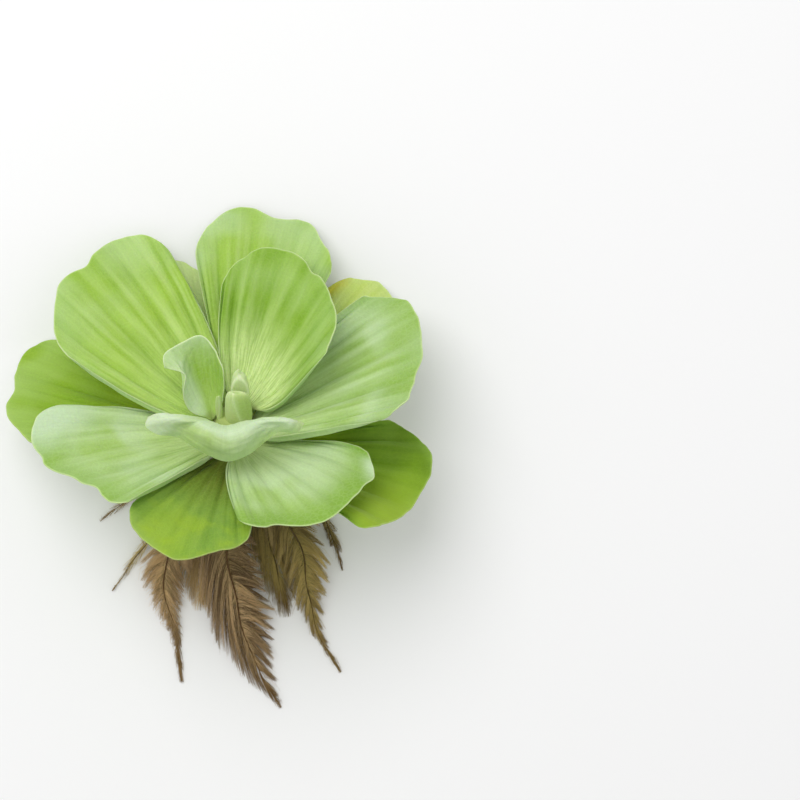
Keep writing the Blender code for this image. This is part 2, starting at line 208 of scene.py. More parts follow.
def tube_faces(rings: int, sides: int, outward: bool = True) -> list[np.ndarray]:
    """Faces of a tube of rings of points, with both ends closed.

    Args:
        rings: how many rings it has.
        sides: how many points each ring has.
        outward: whether the rings run the right way round for faces that point out.

    Returns:
        Blocks of faces: the sides, the first end and the last end.
    """
    last = (rings - 1) * sides
    faces = [grid_quads(rings, sides, closed=True), np.arange(sides)[None, ::-1],
             np.arange(last, last + sides)[None]]
    return faces if outward else [some[:, ::-1] for some in faces]


def put_in_scene(name: str, data: bpy.types.ID) -> bpy.types.Object:
    """Make an object and link it to the scene.

    Args:
        name: the object's name.
        data: its mesh, lamp or camera.

    Returns:
        The new object.
    """
    made = bpy.data.objects.new(name, data)
    bpy.context.scene.collection.objects.link(made)
    return made


@dataclass
class Skin:
    """A closed mesh on its way into Blender."""

    points: np.ndarray                                   # in metres
    faces: list[np.ndarray]                              # blocks of faces of one size each
    values: dict[str, np.ndarray] = field(default_factory=dict)
    places: np.ndarray | None = None                     # bake map, one place for each corner

    def into_piece(self, name: str, material: Material, slot: Slot, node: str) -> None:
        """Make the object, hang it on the plant and let it stand for its solid.

        Args:
            name: the piece's name.
            material: its finish.
            slot: the record's material slot; not used.
            node: the solid that it stands for.
        """
        mesh = bpy.data.meshes.new(name)
        corners = np.concatenate([block.ravel() for block in self.faces])
        sizes = np.concatenate([np.full(len(block), block.shape[1]) for block in self.faces])
        starts = np.concatenate([[0], np.cumsum(sizes)[:-1]])
        mesh.vertices.add(len(self.points))
        mesh.vertices.foreach_set("co", self.points.astype(np.float32).ravel())
        mesh.loops.add(len(corners))
        mesh.loops.foreach_set("vertex_index", corners.astype(np.int32))
        mesh.polygons.add(len(sizes))
        mesh.polygons.foreach_set("loop_start", starts.astype(np.int32))
        mesh.update(calc_edges=True)
        for key, numbers in self.values.items():
            kind, field_name = (("FLOAT_VECTOR", "vector") if numbers.ndim == 2
                                else ("FLOAT", "value"))
            layer = mesh.attributes.new(key, kind, "POINT")
            layer.data.foreach_set(field_name, numbers.astype(np.float32).ravel())
        if self.places is not None:
            chart = mesh.uv_layers.new(name=BAKE_MAP, do_init=False)
            chart.uv.foreach_set("vector", self.places.astype(np.float32).ravel())
        mesh.shade_smooth()
        mesh.materials.append(material)
        piece = put_in_scene(name, mesh)
        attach(piece, BODY)
        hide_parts(node)
        LOG.info("%s: %d triangles, for %s", name, (sizes - 2).sum(), node)


def paint(colour: Colour | Socket) -> tuple | Socket:
    """A colour with its alpha, or a socket as it is."""
    return colour if isinstance(colour, Socket) else (*colour, 1.0)


def socket_name(field_name: str) -> str:
    """The name of the socket for a field, such as Tip Amount for tip_amount."""
    return field_name.replace("_", " ").title()


class NodeSheet:
    """A node tree with short ways to add nodes and join them."""

    def __init__(self, tree: bpy.types.NodeTree) -> None:
        """Start on a tree."""
        self.tree = tree

    def fill(self, node: bpy.types.Node, inputs: dict) -> None:
        """Set or link a node's inputs.

        Args:
            node: the node.
            inputs: for each input's name or number, a value or the socket to link from.
        """
        for key, value in inputs.items():
            if isinstance(value, Socket):
                self.tree.links.new(value, node.inputs[key])
            else:
                node.inputs[key].default_value = value

    def add(self, kind: str, inputs: dict | None = None,
            **settings: object) -> bpy.types.Node:
        """Add a node, set its properties, and set or link its inputs.

        Args:
            kind: Blender's name for the node's type.
            inputs: values or sockets, as for fill.
            settings: the node's own properties.

        Returns:
            The new node.
        """
        node = self.tree.nodes.new(kind)
        for key, value in settings.items():
            setattr(node, key, value)
        self.fill(node, inputs or {})
        return node

    def math(self, operation: str, *terms: Term, clamp: bool = False) -> Socket:
        """Join numbers or sockets by one sum."""
        inputs = dict(enumerate(terms))
        return self.add("ShaderNodeMath", inputs, operation=operation, use_clamp=clamp).outputs[0]

    def times(self, *terms: Term) -> Socket:
        """Multiply numbers or sockets, from the left."""
        return reduce(partial(self.math, "MULTIPLY"), terms)

    def place(self, x: Term, y: Term, z: Term = 0.0) -> Socket:
        """Join three numbers or sockets into a place."""
        return self.add("ShaderNodeCombineXYZ", {0: x, 1: y, 2: z}).outputs[0]

    def mix(self, share: Term, first: Colour | Socket, second: Colour | Socket,
            how: str = "MIX") -> Socket:
        """Mix two colours by a share from 0 to 1."""
        inputs = {"Factor": share, 6: paint(first), 7: paint(second)}
        return self.add("ShaderNodeMix", inputs, data_type="RGBA", blend_type=how).outputs[2]

    def step(self, value: Term, low: float, high: float, out_low: float = 0.0,
             out_high: float = 1.0) -> Socket:
        """Spread a value smoothly from one range to another, level at both ends.

        Args:
            value: the value to spread.
            low, high: the range that it is read in.
            out_low, out_high: what the range's ends become.

        Returns:
            The spread value.
        """
        inputs = {"Value": value, "From Min": low, "From Max": high,
                  "To Min": out_low, "To Max": out_high}
        return self.add("ShaderNodeMapRange", inputs, interpolation_type="SMOOTHSTEP").outputs[0]

    def noise(self, vector: Socket, scale: float, detail: float = 2.0,
              roughness: float = 0.5) -> Socket:
        """Smooth random values from 0 to 1."""
        inputs = {"Vector": vector, "Scale": scale, "Detail": detail, "Roughness": roughness}
        return self.add("ShaderNodeTexNoise", inputs).outputs[0]

    def bump(self, height: Socket, strength: float, distance: float) -> Socket:
        """A normal that is bent by a height, up to a distance in metres."""
        inputs = {"Strength": strength, "Distance": distance, "Height": height}
        return self.add("ShaderNodeBump", inputs).outputs[0]

    def value_of(self, name: str, output: str = "Fac") -> Socket:
        """Read one of the mesh's own values."""
        return self.add("ShaderNodeAttribute", attribute_name=name).outputs[output]


def new_group(name: str, inputs: dict[str, str], outputs: dict[str, str]) -> tuple:
    """Start a shader node group with named sockets.

    Args:
        name: the group's name.
        inputs: each input's name and socket type, short: Float, Color or Vector.
        outputs: the same for the outputs.

    Returns:
        The group's node sheet, the sockets of its input node, and its output node.
    """
    tree = bpy.data.node_groups.new(name, "ShaderNodeTree")
    for direction, sockets in (("INPUT", inputs), ("OUTPUT", outputs)):
        for socket, kind in sockets.items():
            tree.interface.new_socket(socket, in_out=direction,
                                      socket_type="NodeSocket" + kind)
    sheet = NodeSheet(tree)
    return sheet, sheet.add("NodeGroupInput").outputs, sheet.add("NodeGroupOutput")


@dataclass(frozen=True)
class LeafFinish:
    """Colours of a leaf's skin, and how strongly it shows its veins and bloom."""

    fresh: Colour = (0.33, 0.53, 0.055)        # of the open blade
    deep: Colour = (0.19, 0.37, 0.012)         # in random patches, and painted shade in the grooves and at the tip
    pale: Colour = (0.48, 0.66, 0.19)          # painted highlight on the crests between the veins; also the finer veins and the ribs beneath
    base: Colour = (0.47, 0.63, 0.13)          # near the stem: the pale hairy base, partly painted light where it lies in shade
    bloom: Colour = (0.56, 0.72, 0.42)         # pale velvety bloom of the hairs, partly painted sheen and highlight
    edge: Colour = (0.66, 0.78, 0.42)          # of the margin
    back: Colour = (0.46, 0.62, 0.30)          # of the underside
    shade: Colour = (0.13, 0.13, 0.03)         # painted shade at the leaf's foot, in the crevice by the stem
    bloom_amount: float = 0.5
    bloom_along: float = 1.0                   # where the bloom is strongest
    # strength of the painted shade in the grooves and of the painted highlight on the crests
    vein_amount: float = 0.9
    tip_amount: float = 0.0                    # how strongly painted shade darkens the tip
    stain: Colour = (0.70, 0.62, 0.03)         # a patch of another colour
    stain_amount: float = 0.0
    stain_at: tuple[float, float] = (0.0, 1.0)           # across and along
    stain_size: float = 0.28
    mottle_amount: float = 0.0                 # blotches of the stain's colour all over
    seed: float = 0.0


def leaf_skin_group() -> bpy.types.NodeTree:
    """Skin of a leaf: grooved and streaked along its veins, netted, with a velvety bloom.

    Shade is painted into its grooves, tip and foot, and highlight onto its crests.

    Returns:
        A group that gives colour, roughness and height from the leaf's own values.
    """
    inputs = {"Flat": "Vector"} | {socket_name(name): "Float" for name in VEIN_VALUES}
    inputs |= {socket_name(name): SOCKET_KINDS[np.size(value)]
               for name, value in asdict(LeafFinish()).items()}
    sheet, given, result = new_group("leaf_skin", inputs,
                                     {"Color": "Color", "Roughness": "Float", "Height": "Float"})
    along, groove, crest = given["Along"], given["Groove"], given["Crest"]
    flat = sheet.add("ShaderNodeVectorMath",
                     {0: given["Flat"], 1: sheet.place(0.0, 0.0, given["Seed"])}).outputs[0]
    fan = sheet.place(sheet.times(given["Across"], 9.0), sheet.times(along, 1.1), given["Seed"])

    patches = sheet.noise(flat, PATCH_SCALE)
    clouds = sheet.noise(flat, CLOUD_SCALE, 1.0)
    streaks = sheet.noise(fan, 1.3)
    fine_streaks = sheet.noise(fan, 6.0, 2.0, 0.6)
    speckle = sheet.noise(flat, SPECKLE_SCALE, 2.0, 0.7)
    net = sheet.add("ShaderNodeTexVoronoi", {"Vector": flat, "Scale": NET_SCALE},
                    feature="DISTANCE_TO_EDGE").outputs[0]
    veinlets = sheet.step(net, 0.0, 0.16, 1.0, 0.0)

    colour = sheet.mix(sheet.step(patches, 0.35, 0.75, 0.0, 0.6), given["Fresh"],
                       given["Deep"])
    # painted shade: the grooves along the veins are darkened towards the deep green, less towards
    # the tip
    groove_shade = sheet.math("MULTIPLY_ADD", groove, 0.5, sheet.math("MULTIPLY_ADD", crest, -0.5, 0.5))
    groove_shade = sheet.times(groove_shade, sheet.step(along, 0.2, 0.95, 1.0, 0.15),
                         sheet.step(streaks, 0.3, 0.7, 0.5, 1.0), given["Vein Amount"])
    colour = sheet.mix(groove_shade, colour, given["Deep"])
    # painted highlight: the crests between the veins are lightened towards the pale green, most
    # along the leaf's middle
    crest_highlight = sheet.times(crest, sheet.step(streaks, 0.3, 0.75, 0.1, 1.0),
                        sheet.step(along, 0.1, 0.35, 0.3, 1.0),
                        sheet.step(along, 0.7, 1.0, 1.0, 0.45), given["Vein Amount"])
    colour = sheet.mix(crest_highlight, colour, given["Pale"])
    # the pale hairy base near the stem, partly painted light where the deep bases lie in shade
    near_base = sheet.times(sheet.step(along, 0.1, 0.7, 0.95, 0.0),
                            sheet.step(fine_streaks, 0.3, 0.65, 0.55, 1.0))
    colour = sheet.mix(near_base, colour, given["Base"])
    # the velvety bloom: the pale hairs, partly painted sheen and highlight, round bloom_along and
    # along the margin
    bloomed = sheet.math("ABSOLUTE", sheet.math("SUBTRACT", along, given["Bloom Along"]))
    tip = sheet.math("MULTIPLY_ADD", sheet.step(bloomed, 0.0, 0.5, 1.0, 0.0), 0.8,
                     sheet.times(given["Brim"], 0.4))
    velvet = sheet.math("MULTIPLY", sheet.times(tip, sheet.step(clouds, 0.4, 0.62, 0.12, 1.0)),
                        given["Bloom Amount"], clamp=True)
    colour = sheet.mix(velvet, colour, given["Bloom"])
    # painted shade: the tip darkens towards the deep green, as where it faces away from the light
    tip_shade = sheet.times(sheet.step(along, 0.7, 1.0), given["Tip Amount"])
    colour = sheet.mix(tip_shade, colour, given["Deep"])
    apart = sheet.add("ShaderNodeVectorMath",
                      {0: sheet.place(given["Across"], along), 1: given["Stain At"]},
                      operation="DISTANCE").outputs["Value"]
    stained = sheet.math("MULTIPLY_ADD", sheet.math("SUBTRACT", clouds, 0.5), 0.3, apart)
    stained = sheet.math("DIVIDE", stained, given["Stain Size"])
    stained = sheet.times(sheet.step(stained, 0.2, 1.0, 1.0, 0.0), given["Stain Amount"])
    colour = sheet.mix(stained, colour, given["Stain"])
    blotches = sheet.step(sheet.noise(flat, MOTTLE_SCALE, 3.0, 0.55), 0.42, 0.68)
    blotches = sheet.times(blotches, sheet.step(along, 0.35, 0.8), given["Mottle Amount"])
    colour = sheet.mix(blotches, colour, given["Stain"])

    uneven = sheet.times(sheet.step(fine_streaks, 0.35, 0.7, 0.3, 1.0),
                         sheet.step(patches, 0.3, 0.7, 0.1, 0.45))
    back = sheet.mix(uneven, given["Back"], given["Fresh"])
    back = sheet.mix(sheet.step(given["Rib"], 0.05, 0.7, 0.0, 0.75), back, given["Pale"])
    colour = sheet.mix(given["Under"], colour, back)
    colour = sheet.mix(sheet.times(veinlets, 0.12), colour, given["Pale"])
    grain = sheet.times(sheet.math("MULTIPLY_ADD", speckle, 0.22, 0.89),
                        sheet.math("MULTIPLY_ADD", fine_streaks, 0.16, 0.92))
    dust = sheet.add("ShaderNodeCombineColor", {0: grain, 1: grain, 2: grain}).outputs[0]
    colour = sheet.mix(1.0, colour, dust, "MULTIPLY")
    colour = sheet.mix(sheet.times(given["Margin"], 0.7), colour, given["Edge"])
    # painted shade at the leaf's foot, in the crevice where it enters the stem
    colour = sheet.mix(sheet.step(along, -0.03, 0.07, 0.85, 0.0), colour, given["Shade"])

    pores = sheet.noise(flat, PORE_SCALE, 1.0)
    height = sheet.math("MULTIPLY_ADD", veinlets, -0.5, sheet.times(pores, 0.6))
    sheet.fill(result, {"Color": colour,
                        "Roughness": sheet.math("MULTIPLY_ADD", speckle, 0.25, 0.50),
                        "Height": sheet.math("MULTIPLY_ADD", fine_streaks, 0.9, height)})
    return sheet.tree


def principled(name: str) -> tuple[Material, NodeSheet, bpy.types.Node]:
    """Start a material.

    Args:
        name: the material's name.

    Returns:
        The material, its node sheet and its shader.
    """
    material = bpy.data.materials.new(name)
    material.use_nodes = True
    shader = material.node_tree.nodes["Principled BSDF"]
    return material, NodeSheet(material.node_tree), shader


def leaf_material(name: str, finish: LeafFinish, group: bpy.types.NodeTree) -> Material:
    """Velvety, slightly translucent leaf.

    Args:
        name: the material's name.
        finish: its colours and strengths.
        group: the leaf skin.

    Returns:
        The material.
    """
    material, sheet, shader = principled(name)
    inputs = {"Flat": sheet.value_of("flat", "Vector")}
    inputs |= {socket_name(value): sheet.value_of(value) for value in VEIN_VALUES}
    padding = {1: lambda value: value, 2: lambda value: (*value, 0.0), 3: paint}
    inputs |= {socket_name(key): padding[np.size(value)](value)
               for key, value in asdict(finish).items()}
    skin = sheet.add("ShaderNodeGroup", {}, node_tree=group)
    sheet.fill(skin, inputs)
    sheet.fill(shader, {"Base Color": skin.outputs["Color"],
                        "Roughness": skin.outputs["Roughness"],
                        "Normal": sheet.bump(skin.outputs["Height"], 0.5, 0.00012),
                        "Subsurface Weight": 0.25, "Subsurface Radius": (0.7, 1.0, 0.25),
                        "Subsurface Scale": 0.0012, "Specular IOR Level": 0.25,
                        "Sheen Weight": 0.12, "Sheen Roughness": 0.45,
                        "Sheen Tint": (0.85, 1.0, 0.85, 1.0)})
    return material


@dataclass(frozen=True)
class LeafForm:
    """One open leaf: where it leaves the stem, how it is held, and its outline.

    Pairs of values are for the leaf's right and left half, seen from its base.
    """

    name: str
    slot: Slot
    azimuth: float                     # direction round the stem, from +X towards the back
    pitch: float                       # rise above the rosette's plane at the base
    length: float
    fan: tuple                         # angle from the midrib to each side's last vein
    height: float                      # of the base, up the stem
    reach: tuple                       # outline: share of the length, right edge to left edge
    arch: float = -4.0                 # change of pitch from base to tip
    flare: tuple = (1.3, 1.3)          # fan angle at the base, as a share of the tip's
    half_base: float = 3.4
    from_axis: float = 6.6
    cup: tuple = (20.0, 20.0)          # how far the blade bends up at each side
    cup_at_tip: float = 0.3            # share of the cup that is left at the tip
    pleat: float = 0.55                # height of the ribs along the veins
    ruffle: float = 0.8                # height of the margin's waves
    waves: float = 2.5
    folds: tuple = ()                  # each: place across, width, height in millimetres
    notches: tuple = ()                # in the margin, each: place, width, depth
    finish: LeafFinish = LeafFinish()


@dataclass(frozen=True)
class YoungForm:
    """A young leaf that is still folded, as a net of points that its blade runs through.

    Points are in millimetres from the crown, in the lying plant's own directions: right,
    back and up. Rows run from base to margin, each from the leaf's right edge to its left.
    """

    name: str
    slot: Slot
    net: tuple
    fleshiness: float = 0.6            # share of an open leaf's thickness
    finish: LeafFinish = LeafFinish()


@dataclass(frozen=True)
class LeafCut:
    """How finely a leaf is cut, and the fine forms that leaves share, in millimetres."""

    columns: int = 120
    rows: int = 84
    rim_rows: tuple = (0.06, 0.18, 0.36, 0.6, 0.9)       # in from the margin
    foot_rows: int = 5
    sink: float = 1.8                  # how far the foot runs into the stem
    veins: int = 6
    thickness_at_base: float = 2.2
    thickness_at_margin: float = 0.5
    thin_sides: float = 0.3            # share of the thickness that is left at a side edge
    side_width: float = 5.0            # of the strip where a side thins
    rim: float = 0.45                  # width of the rounded margin
    groove_depth: float = 0.42
    groove_shares: tuple = (0.7, 0.35, 0.4)      # main veins, lesser ones, and round both
    groove_width: float = 0.5
    lesser_width: float = 0.7          # share of the groove's width at a lesser vein
    valley_widths: tuple = (2.0, 1.4)  # the same for the valleys round both
    rib_height: float = 1.0
    lesser_rib: float = 0.45           # share of it at a lesser vein
    uneven: float = 0.2                # height of the margin's random waves
    uneven_paces: tuple = (11.0, 17.0, 26.0, 41.0, 60.0)
    swelling: tuple = (0.25, 22.0)     # of the blade: height and length of the waves
    crinkle: tuple = (0.22, 5.5)       # the same near a young leaf's margin
    pale_edge: float = 0.28            # how far in the margin's colour reaches
    brim: float = 3.5                  # how far in the bloom along the margin reaches


class Blade:
    """A leaf as a closed shell: a grooved face, a ribbed back and a rounded margin.

    Each pair says where along the leaf something sets in and where it is full, in shares
    of the leaf's length.
    """

    GROOVES_RISE, GROOVES_FADE = (0.0, 0.12), (0.6, 1.0)
    KEEL_RISE, MARGIN_RISE, BRIM_RISE = (-0.02, 0.1), (0.02, 0.15), (0.2, 0.7)
    FADE = 0.8                         # how much shallower grooves are at the margin
    VEIN_WANDER = 0.012                # in half widths of the fan

    def __init__(self, length: float, fleshiness: float, cut: LeafCut,
                 rng: np.random.Generator) -> None:
        """Lay out the grid on which the leaf is worked out.

        Args:
            length: of the leaf, in millimetres.
            fleshiness: share of a big leaf's thickness.
            cut: how finely it is cut.
            rng: source of its small irregularities.
        """
        self.length = length
        self.fleshiness = fleshiness
        self.cut = cut
        self.rng = rng
        rim = 1.0 - np.array(cut.rim_rows) / length
        body = np.linspace(0.0, rim.min(), cut.rows)[:-1]
        foot = np.linspace(-cut.sink / length, 0.0, cut.foot_rows)[:-1]
        self.v = np.concatenate([foot, body, np.sort(rim), [1.0]])[:, None]
        self.w = np.linspace(-1.0, 1.0, cut.columns + 1)[None, :]

    def lay(self) -> tuple[np.ndarray, np.ndarray, np.ndarray]:
        """Places across and along in the flat, and the blade's middle surface."""
        raise NotImplementedError

    @staticmethod
    def from_margin(middle: np.ndarray) -> tuple[np.ndarray, np.ndarray]:
        """Measure how far in each point is, by adding up the steps along the grid's lines.

        Args:
            middle: the blade's middle surface.

        Returns:
            Distances from the nearest edge and from the nearest side edge.
        """
        down = np.linalg.norm(np.diff(middle, axis=0), axis=-1)
        down = np.concatenate([np.zeros((1, middle.shape[1])), np.cumsum(down, axis=0)])
        right = np.linalg.norm(np.diff(middle, axis=1), axis=-1)
        right = np.concatenate([np.zeros((middle.shape[0], 1)), np.cumsum(right, axis=1)],
                               axis=1)
        aside = np.minimum(right, right[:, -1:] - right)
        return np.minimum(down[-1:] - down, aside), aside

    def lines(self, middle: np.ndarray) -> list[np.ndarray]:
        """Mark the veins.

        Main veins lie at even places across the fan, lesser ones half way between. Each
        is a bell of the distance to it, which is its distance across the fan times the
        blade's local width for one unit across.

        Args:
            middle: the blade's middle surface.

        Returns:
            How close each point is to a main vein, a lesser one and any vein, from 0 to 1.
        """
        cut = self.cut
        spread = np.linalg.norm(np.gradient(middle, axis=1), axis=-1) * 0.5 * cut.columns
        spread = np.maximum(spread.mean(axis=1, keepdims=True), 2.0)
        w = self.w + self.VEIN_WANDER * np.sin(5.0 * self.v + self.rng.uniform(0.0, 6.0))
        places = (2.0 * np.arange(cut.veins) + 1.0) / cut.veins - 1.0
        places = places + self.rng.normal(0.0, self.VEIN_WANDER, cut.veins)
        between = 0.5 * (places[1:] + places[:-1])
        width = cut.groove_width / spread
        main, lesser, wide, less_wide = (
            sum(bump_at(w, at, share * width) for at in veins) for veins, share in (
                (places, 1.0), (between, cut.lesser_width),
                (places, cut.valley_widths[0]), (between, cut.valley_widths[1])))
        return [np.clip(close, 0.0, 1.0) for close in (main, lesser, wide + less_wide)]

    def skin(self) -> Skin:
        """The shell, with the values that its finish reads.

        The face and the back stand half the thickness off the middle surface. The face
        sinks at the veins and the back rises there. Towards the margin the thickness
        falls with a quarter circle, so the two sides meet in a round edge.

        Returns:
            The closed skin, with its bake map: the face on the left, the back on the right.
        """
        cut = self.cut
        x, y, middle = self.lay()
        inside, aside = self.from_margin(middle)
        face = unit(np.cross(np.gradient(middle, axis=0), np.gradient(middle, axis=1)))
        grown = np.clip(self.v, 0.0, 1.0)
        main, lesser, valley = self.lines(middle)
        taper = cut.thickness_at_margin / cut.thickness_at_base
        thick = taper + (1.0 - taper) * (1.0 - grown) ** 1.5 * self.fleshiness
        thick = thick * (cut.thin_sides
                         + (1.0 - cut.thin_sides) * smooth(aside, 0.0, cut.side_width))
        t = np.clip(inside / cut.rim, 0.0, 1.0)
        rounding = np.sqrt(np.clip(1.0 - (1.0 - t) ** 2, 0.0, 1.0))
        half = 0.5 * cut.thickness_at_base * thick * rounding
        fade = 1.0 - self.FADE * smooth(self.v, *self.GROOVES_FADE)
        fade = smooth(self.v, *self.GROOVES_RISE) * fade * rounding
        at_main, at_lesser, around = cut.groove_shares
        grooves = at_main * main + at_lesser * lesser + around * valley
        grooves = cut.groove_depth * grooves * fade
        keel = (1.0 - grown) ** 0.6 * smooth(self.v, *self.KEEL_RISE) * rounding
        ribs = cut.rib_height * (main**0.7 + cut.lesser_rib * lesser) * keel
        top = to_world(middle + face * (half - grooves)[..., None])
        bottom = to_world(middle - face * (half + ribs)[..., None])

        rows, columns = top.shape[:2]
        rim = np.zeros((rows, columns), bool)
        rim[[0, -1], :] = True
        rim[:, [0, -1]] = True
        free = ~rim.ravel()
        lower = np.arange(rows * columns)
        lower[free] = rows * columns + np.arange(free.sum())
        front = grid_quads(rows, columns)[:, ::-1]
        back = lower[front][:, ::-1]
        points = np.concatenate([top.reshape(-1, 3), bottom.reshape(-1, 3)[free]])
        points[:, 2] = np.maximum(points[:, 2], 0.0)
        chart = self.chart(x, y) * [0.5, 1.0]
        places = np.concatenate([chart[front.ravel()],
                                 chart[front[:, ::-1].ravel()] + [0.5, 0.0]])

        def both(face_values: np.ndarray, back_values: np.ndarray) -> np.ndarray:
            """Values of the face, then of the back's own points."""
            grids = [np.broadcast_to(g, rim.shape).ravel() for g in (face_values, back_values)]
            return np.concatenate([grids[0], grids[1][free]])

        nothing = 0.0 * main
        under = both(np.where(rim, 0.35, 0.0), nothing + 1.0)
        margin = bump_at(inside, 0.0, cut.pale_edge) * smooth(self.v, *self.MARGIN_RISE)
        brim = np.exp(-inside / cut.brim) * smooth(self.v, *self.BRIM_RISE)
        values = {"across": both(self.w, self.w), "along": both(self.v, self.v),
                  "groove": both(main * fade, nothing), "margin": both(margin, margin),
                  "brim": both(brim, brim), "crest": both((1.0 - valley) * rounding, nothing),
                  "rib": both(nothing, (main + 0.5 * lesser) * keel), "under": under,
                  "flat": np.stack([both(x, x), both(y, y), 10.0 * under],
                                   axis=-1) * MILLIMETRE}
        return Skin(points, [front, back], values, places)

    @staticmethod
    def chart(x: np.ndarray, y: np.ndarray) -> np.ndarray:
        """Fit the flat leaf into a square, for the bake map.

        Args:
            x, y: places in the flat.

        Returns:
            Places in the square, from 0 to 1, in one row.
        """
        flat = np.stack([x.ravel(), y.ravel()], axis=-1)
        low, high = flat.min(axis=0), flat.max(axis=0)
        return 0.02 + 0.96 * (flat - low) / (high - low)


class OpenBlade(Blade):
    """An open leaf, laid out as a fan along a bent midrib."""

    PLEATS_RISE, PLEATS_FADE = (0.03, 0.3), (0.75, 1.0)
    RUFFLE_RISE, SWELLING_RISE, FOLDS_RISE = (0.45, 1.0), (0.1, 0.5), (0.25, 0.95)
    FLATTER = 0.75                     # how much lower the pleats are at the margin

    def __init__(self, form: LeafForm, cut: LeafCut, rng: np.random.Generator) -> None:
        """Take the leaf's form; thin-based leaves are less fleshy."""
        super().__init__(form.length, min(1.0, form.half_base / 3.0), cut, rng)
        self.form = form

    def lay(self) -> tuple[np.ndarray, np.ndarray, np.ndarray]:
        """Lay the leaf in the flat and in the plant's frame.

        In the flat, each vein runs out from the base at its share of the fan angle, as
        far as the outline's reach there. The flat fan is then laid along the bent midrib,
        curved up into a cup across it, ribbed along the veins and waved at the margin.

        Returns:
            Places across and along in the flat, and the blade's middle surface.
        """
        form, v = self.form, self.v
        w = self.w + 0.0 * v
        bend = np.sin(0.5 * math.pi * w)
        fan = np.radians(blend(form.fan, bend))
        flare = blend(form.flare, bend)
        angle = fan * bend * (flare + (1.0 - flare) * np.sqrt(np.clip(v, 0.0, 1.0)))
        reach = curve_through(form.reach, 0.5 * (w + 1.0))
        for place, width, depth in form.notches:
            reach = reach - depth / form.length * bump_at(w, place, width)
        uneven = sum(np.sin(pace * w + start) / pace for pace, start in zip(
            self.cut.uneven_paces, random_for(form.name + "_margin").uniform(0.0, 6.28, 5)))
        reach = reach + self.cut.uneven * self.cut.uneven_paces[0] * uneven / form.length
        reach = np.where(v > 0.0, reach, 1.0)
        out = form.length * reach * v
        x = form.half_base * bend + out * np.sin(angle)
        y = out * np.cos(angle)

        mean_fan = math.radians(0.5 * (form.fan[0] + form.fan[1]))
        half_width = form.half_base + 0.8 * form.length * math.sin(mean_fan)
        left_over = 1.0 + (form.cup_at_tip - 1.0) * np.clip(y / form.length, 0.0, 1.0)
        cup = np.where(x > 0.0, form.cup[1], form.cup[0]) * left_over
        curvature = np.radians(cup) * 2.0 / half_width + 1e-6
        sideways = np.sin(curvature * x) / curvature
        lift = (1.0 - np.cos(curvature * x)) / curvature
        pleats = 1.0 - self.FLATTER * smooth(v, *self.PLEATS_FADE)
        pleats = form.pleat * (smooth(v, *self.PLEATS_RISE) * pleats)
        lift = lift + pleats * np.cos(self.cut.veins * math.pi * w)
        wave = np.sin(form.waves * math.pi * w)
        lift = lift + form.ruffle * smooth(v, *self.RUFFLE_RISE) ** 1.5 * wave
        height, size = self.cut.swelling
        lift = lift + height * smooth(v, *self.SWELLING_RISE) * swell(x, y, size, self.rng)
        for place, width, height in form.folds:
            lift = lift + height * smooth(v, *self.FOLDS_RISE) * bump_at(w, place, width)

        s, centre, across, face, ahead = self.midrib()
        place = np.clip(y / form.length, 0.0, s[-1]).ravel()
        at = [np.stack([np.interp(place, s, line[:, k]) for k in range(3)],
                       axis=-1).reshape(y.shape + (3,)) for line in (centre, across, face)]
        foot = np.minimum(y, 0.0)[..., None] * ahead[0]
        return x, y, at[0] + foot + at[1] * sideways[..., None] + at[2] * lift[..., None]

    def midrib(self) -> tuple[np.ndarray, ...]:
        """The centre line: straight steps, each pitched as the leaf arches there.

        Returns:
            Places along it in shares of the leaf, its points, and the directions across,
            out of the face and ahead.
        """
        form = self.form
        s = np.linspace(0.0, 1.15, 90)
        yaw = math.radians(form.azimuth)
        pitch = np.radians(form.pitch + form.arch * s**1.5)
        outward = np.array([math.cos(yaw), math.sin(yaw), 0.0])
        sideways = np.array([-math.sin(yaw), math.cos(yaw), 0.0])
        up = np.array([0.0, 0.0, 1.0])
        ahead = np.cos(pitch)[:, None] * outward + np.sin(pitch)[:, None] * up
        face = np.cos(pitch)[:, None] * up - np.sin(pitch)[:, None] * outward
        steps = 0.5 * (ahead[1:] + ahead[:-1]) * (s[1] - s[0]) * form.length
        centre = np.concatenate([np.zeros((1, 3)), np.cumsum(steps, axis=0)])
        centre = centre + form.from_axis * outward + form.height * up
        return s, centre, np.broadcast_to(sideways, face.shape), face, ahead


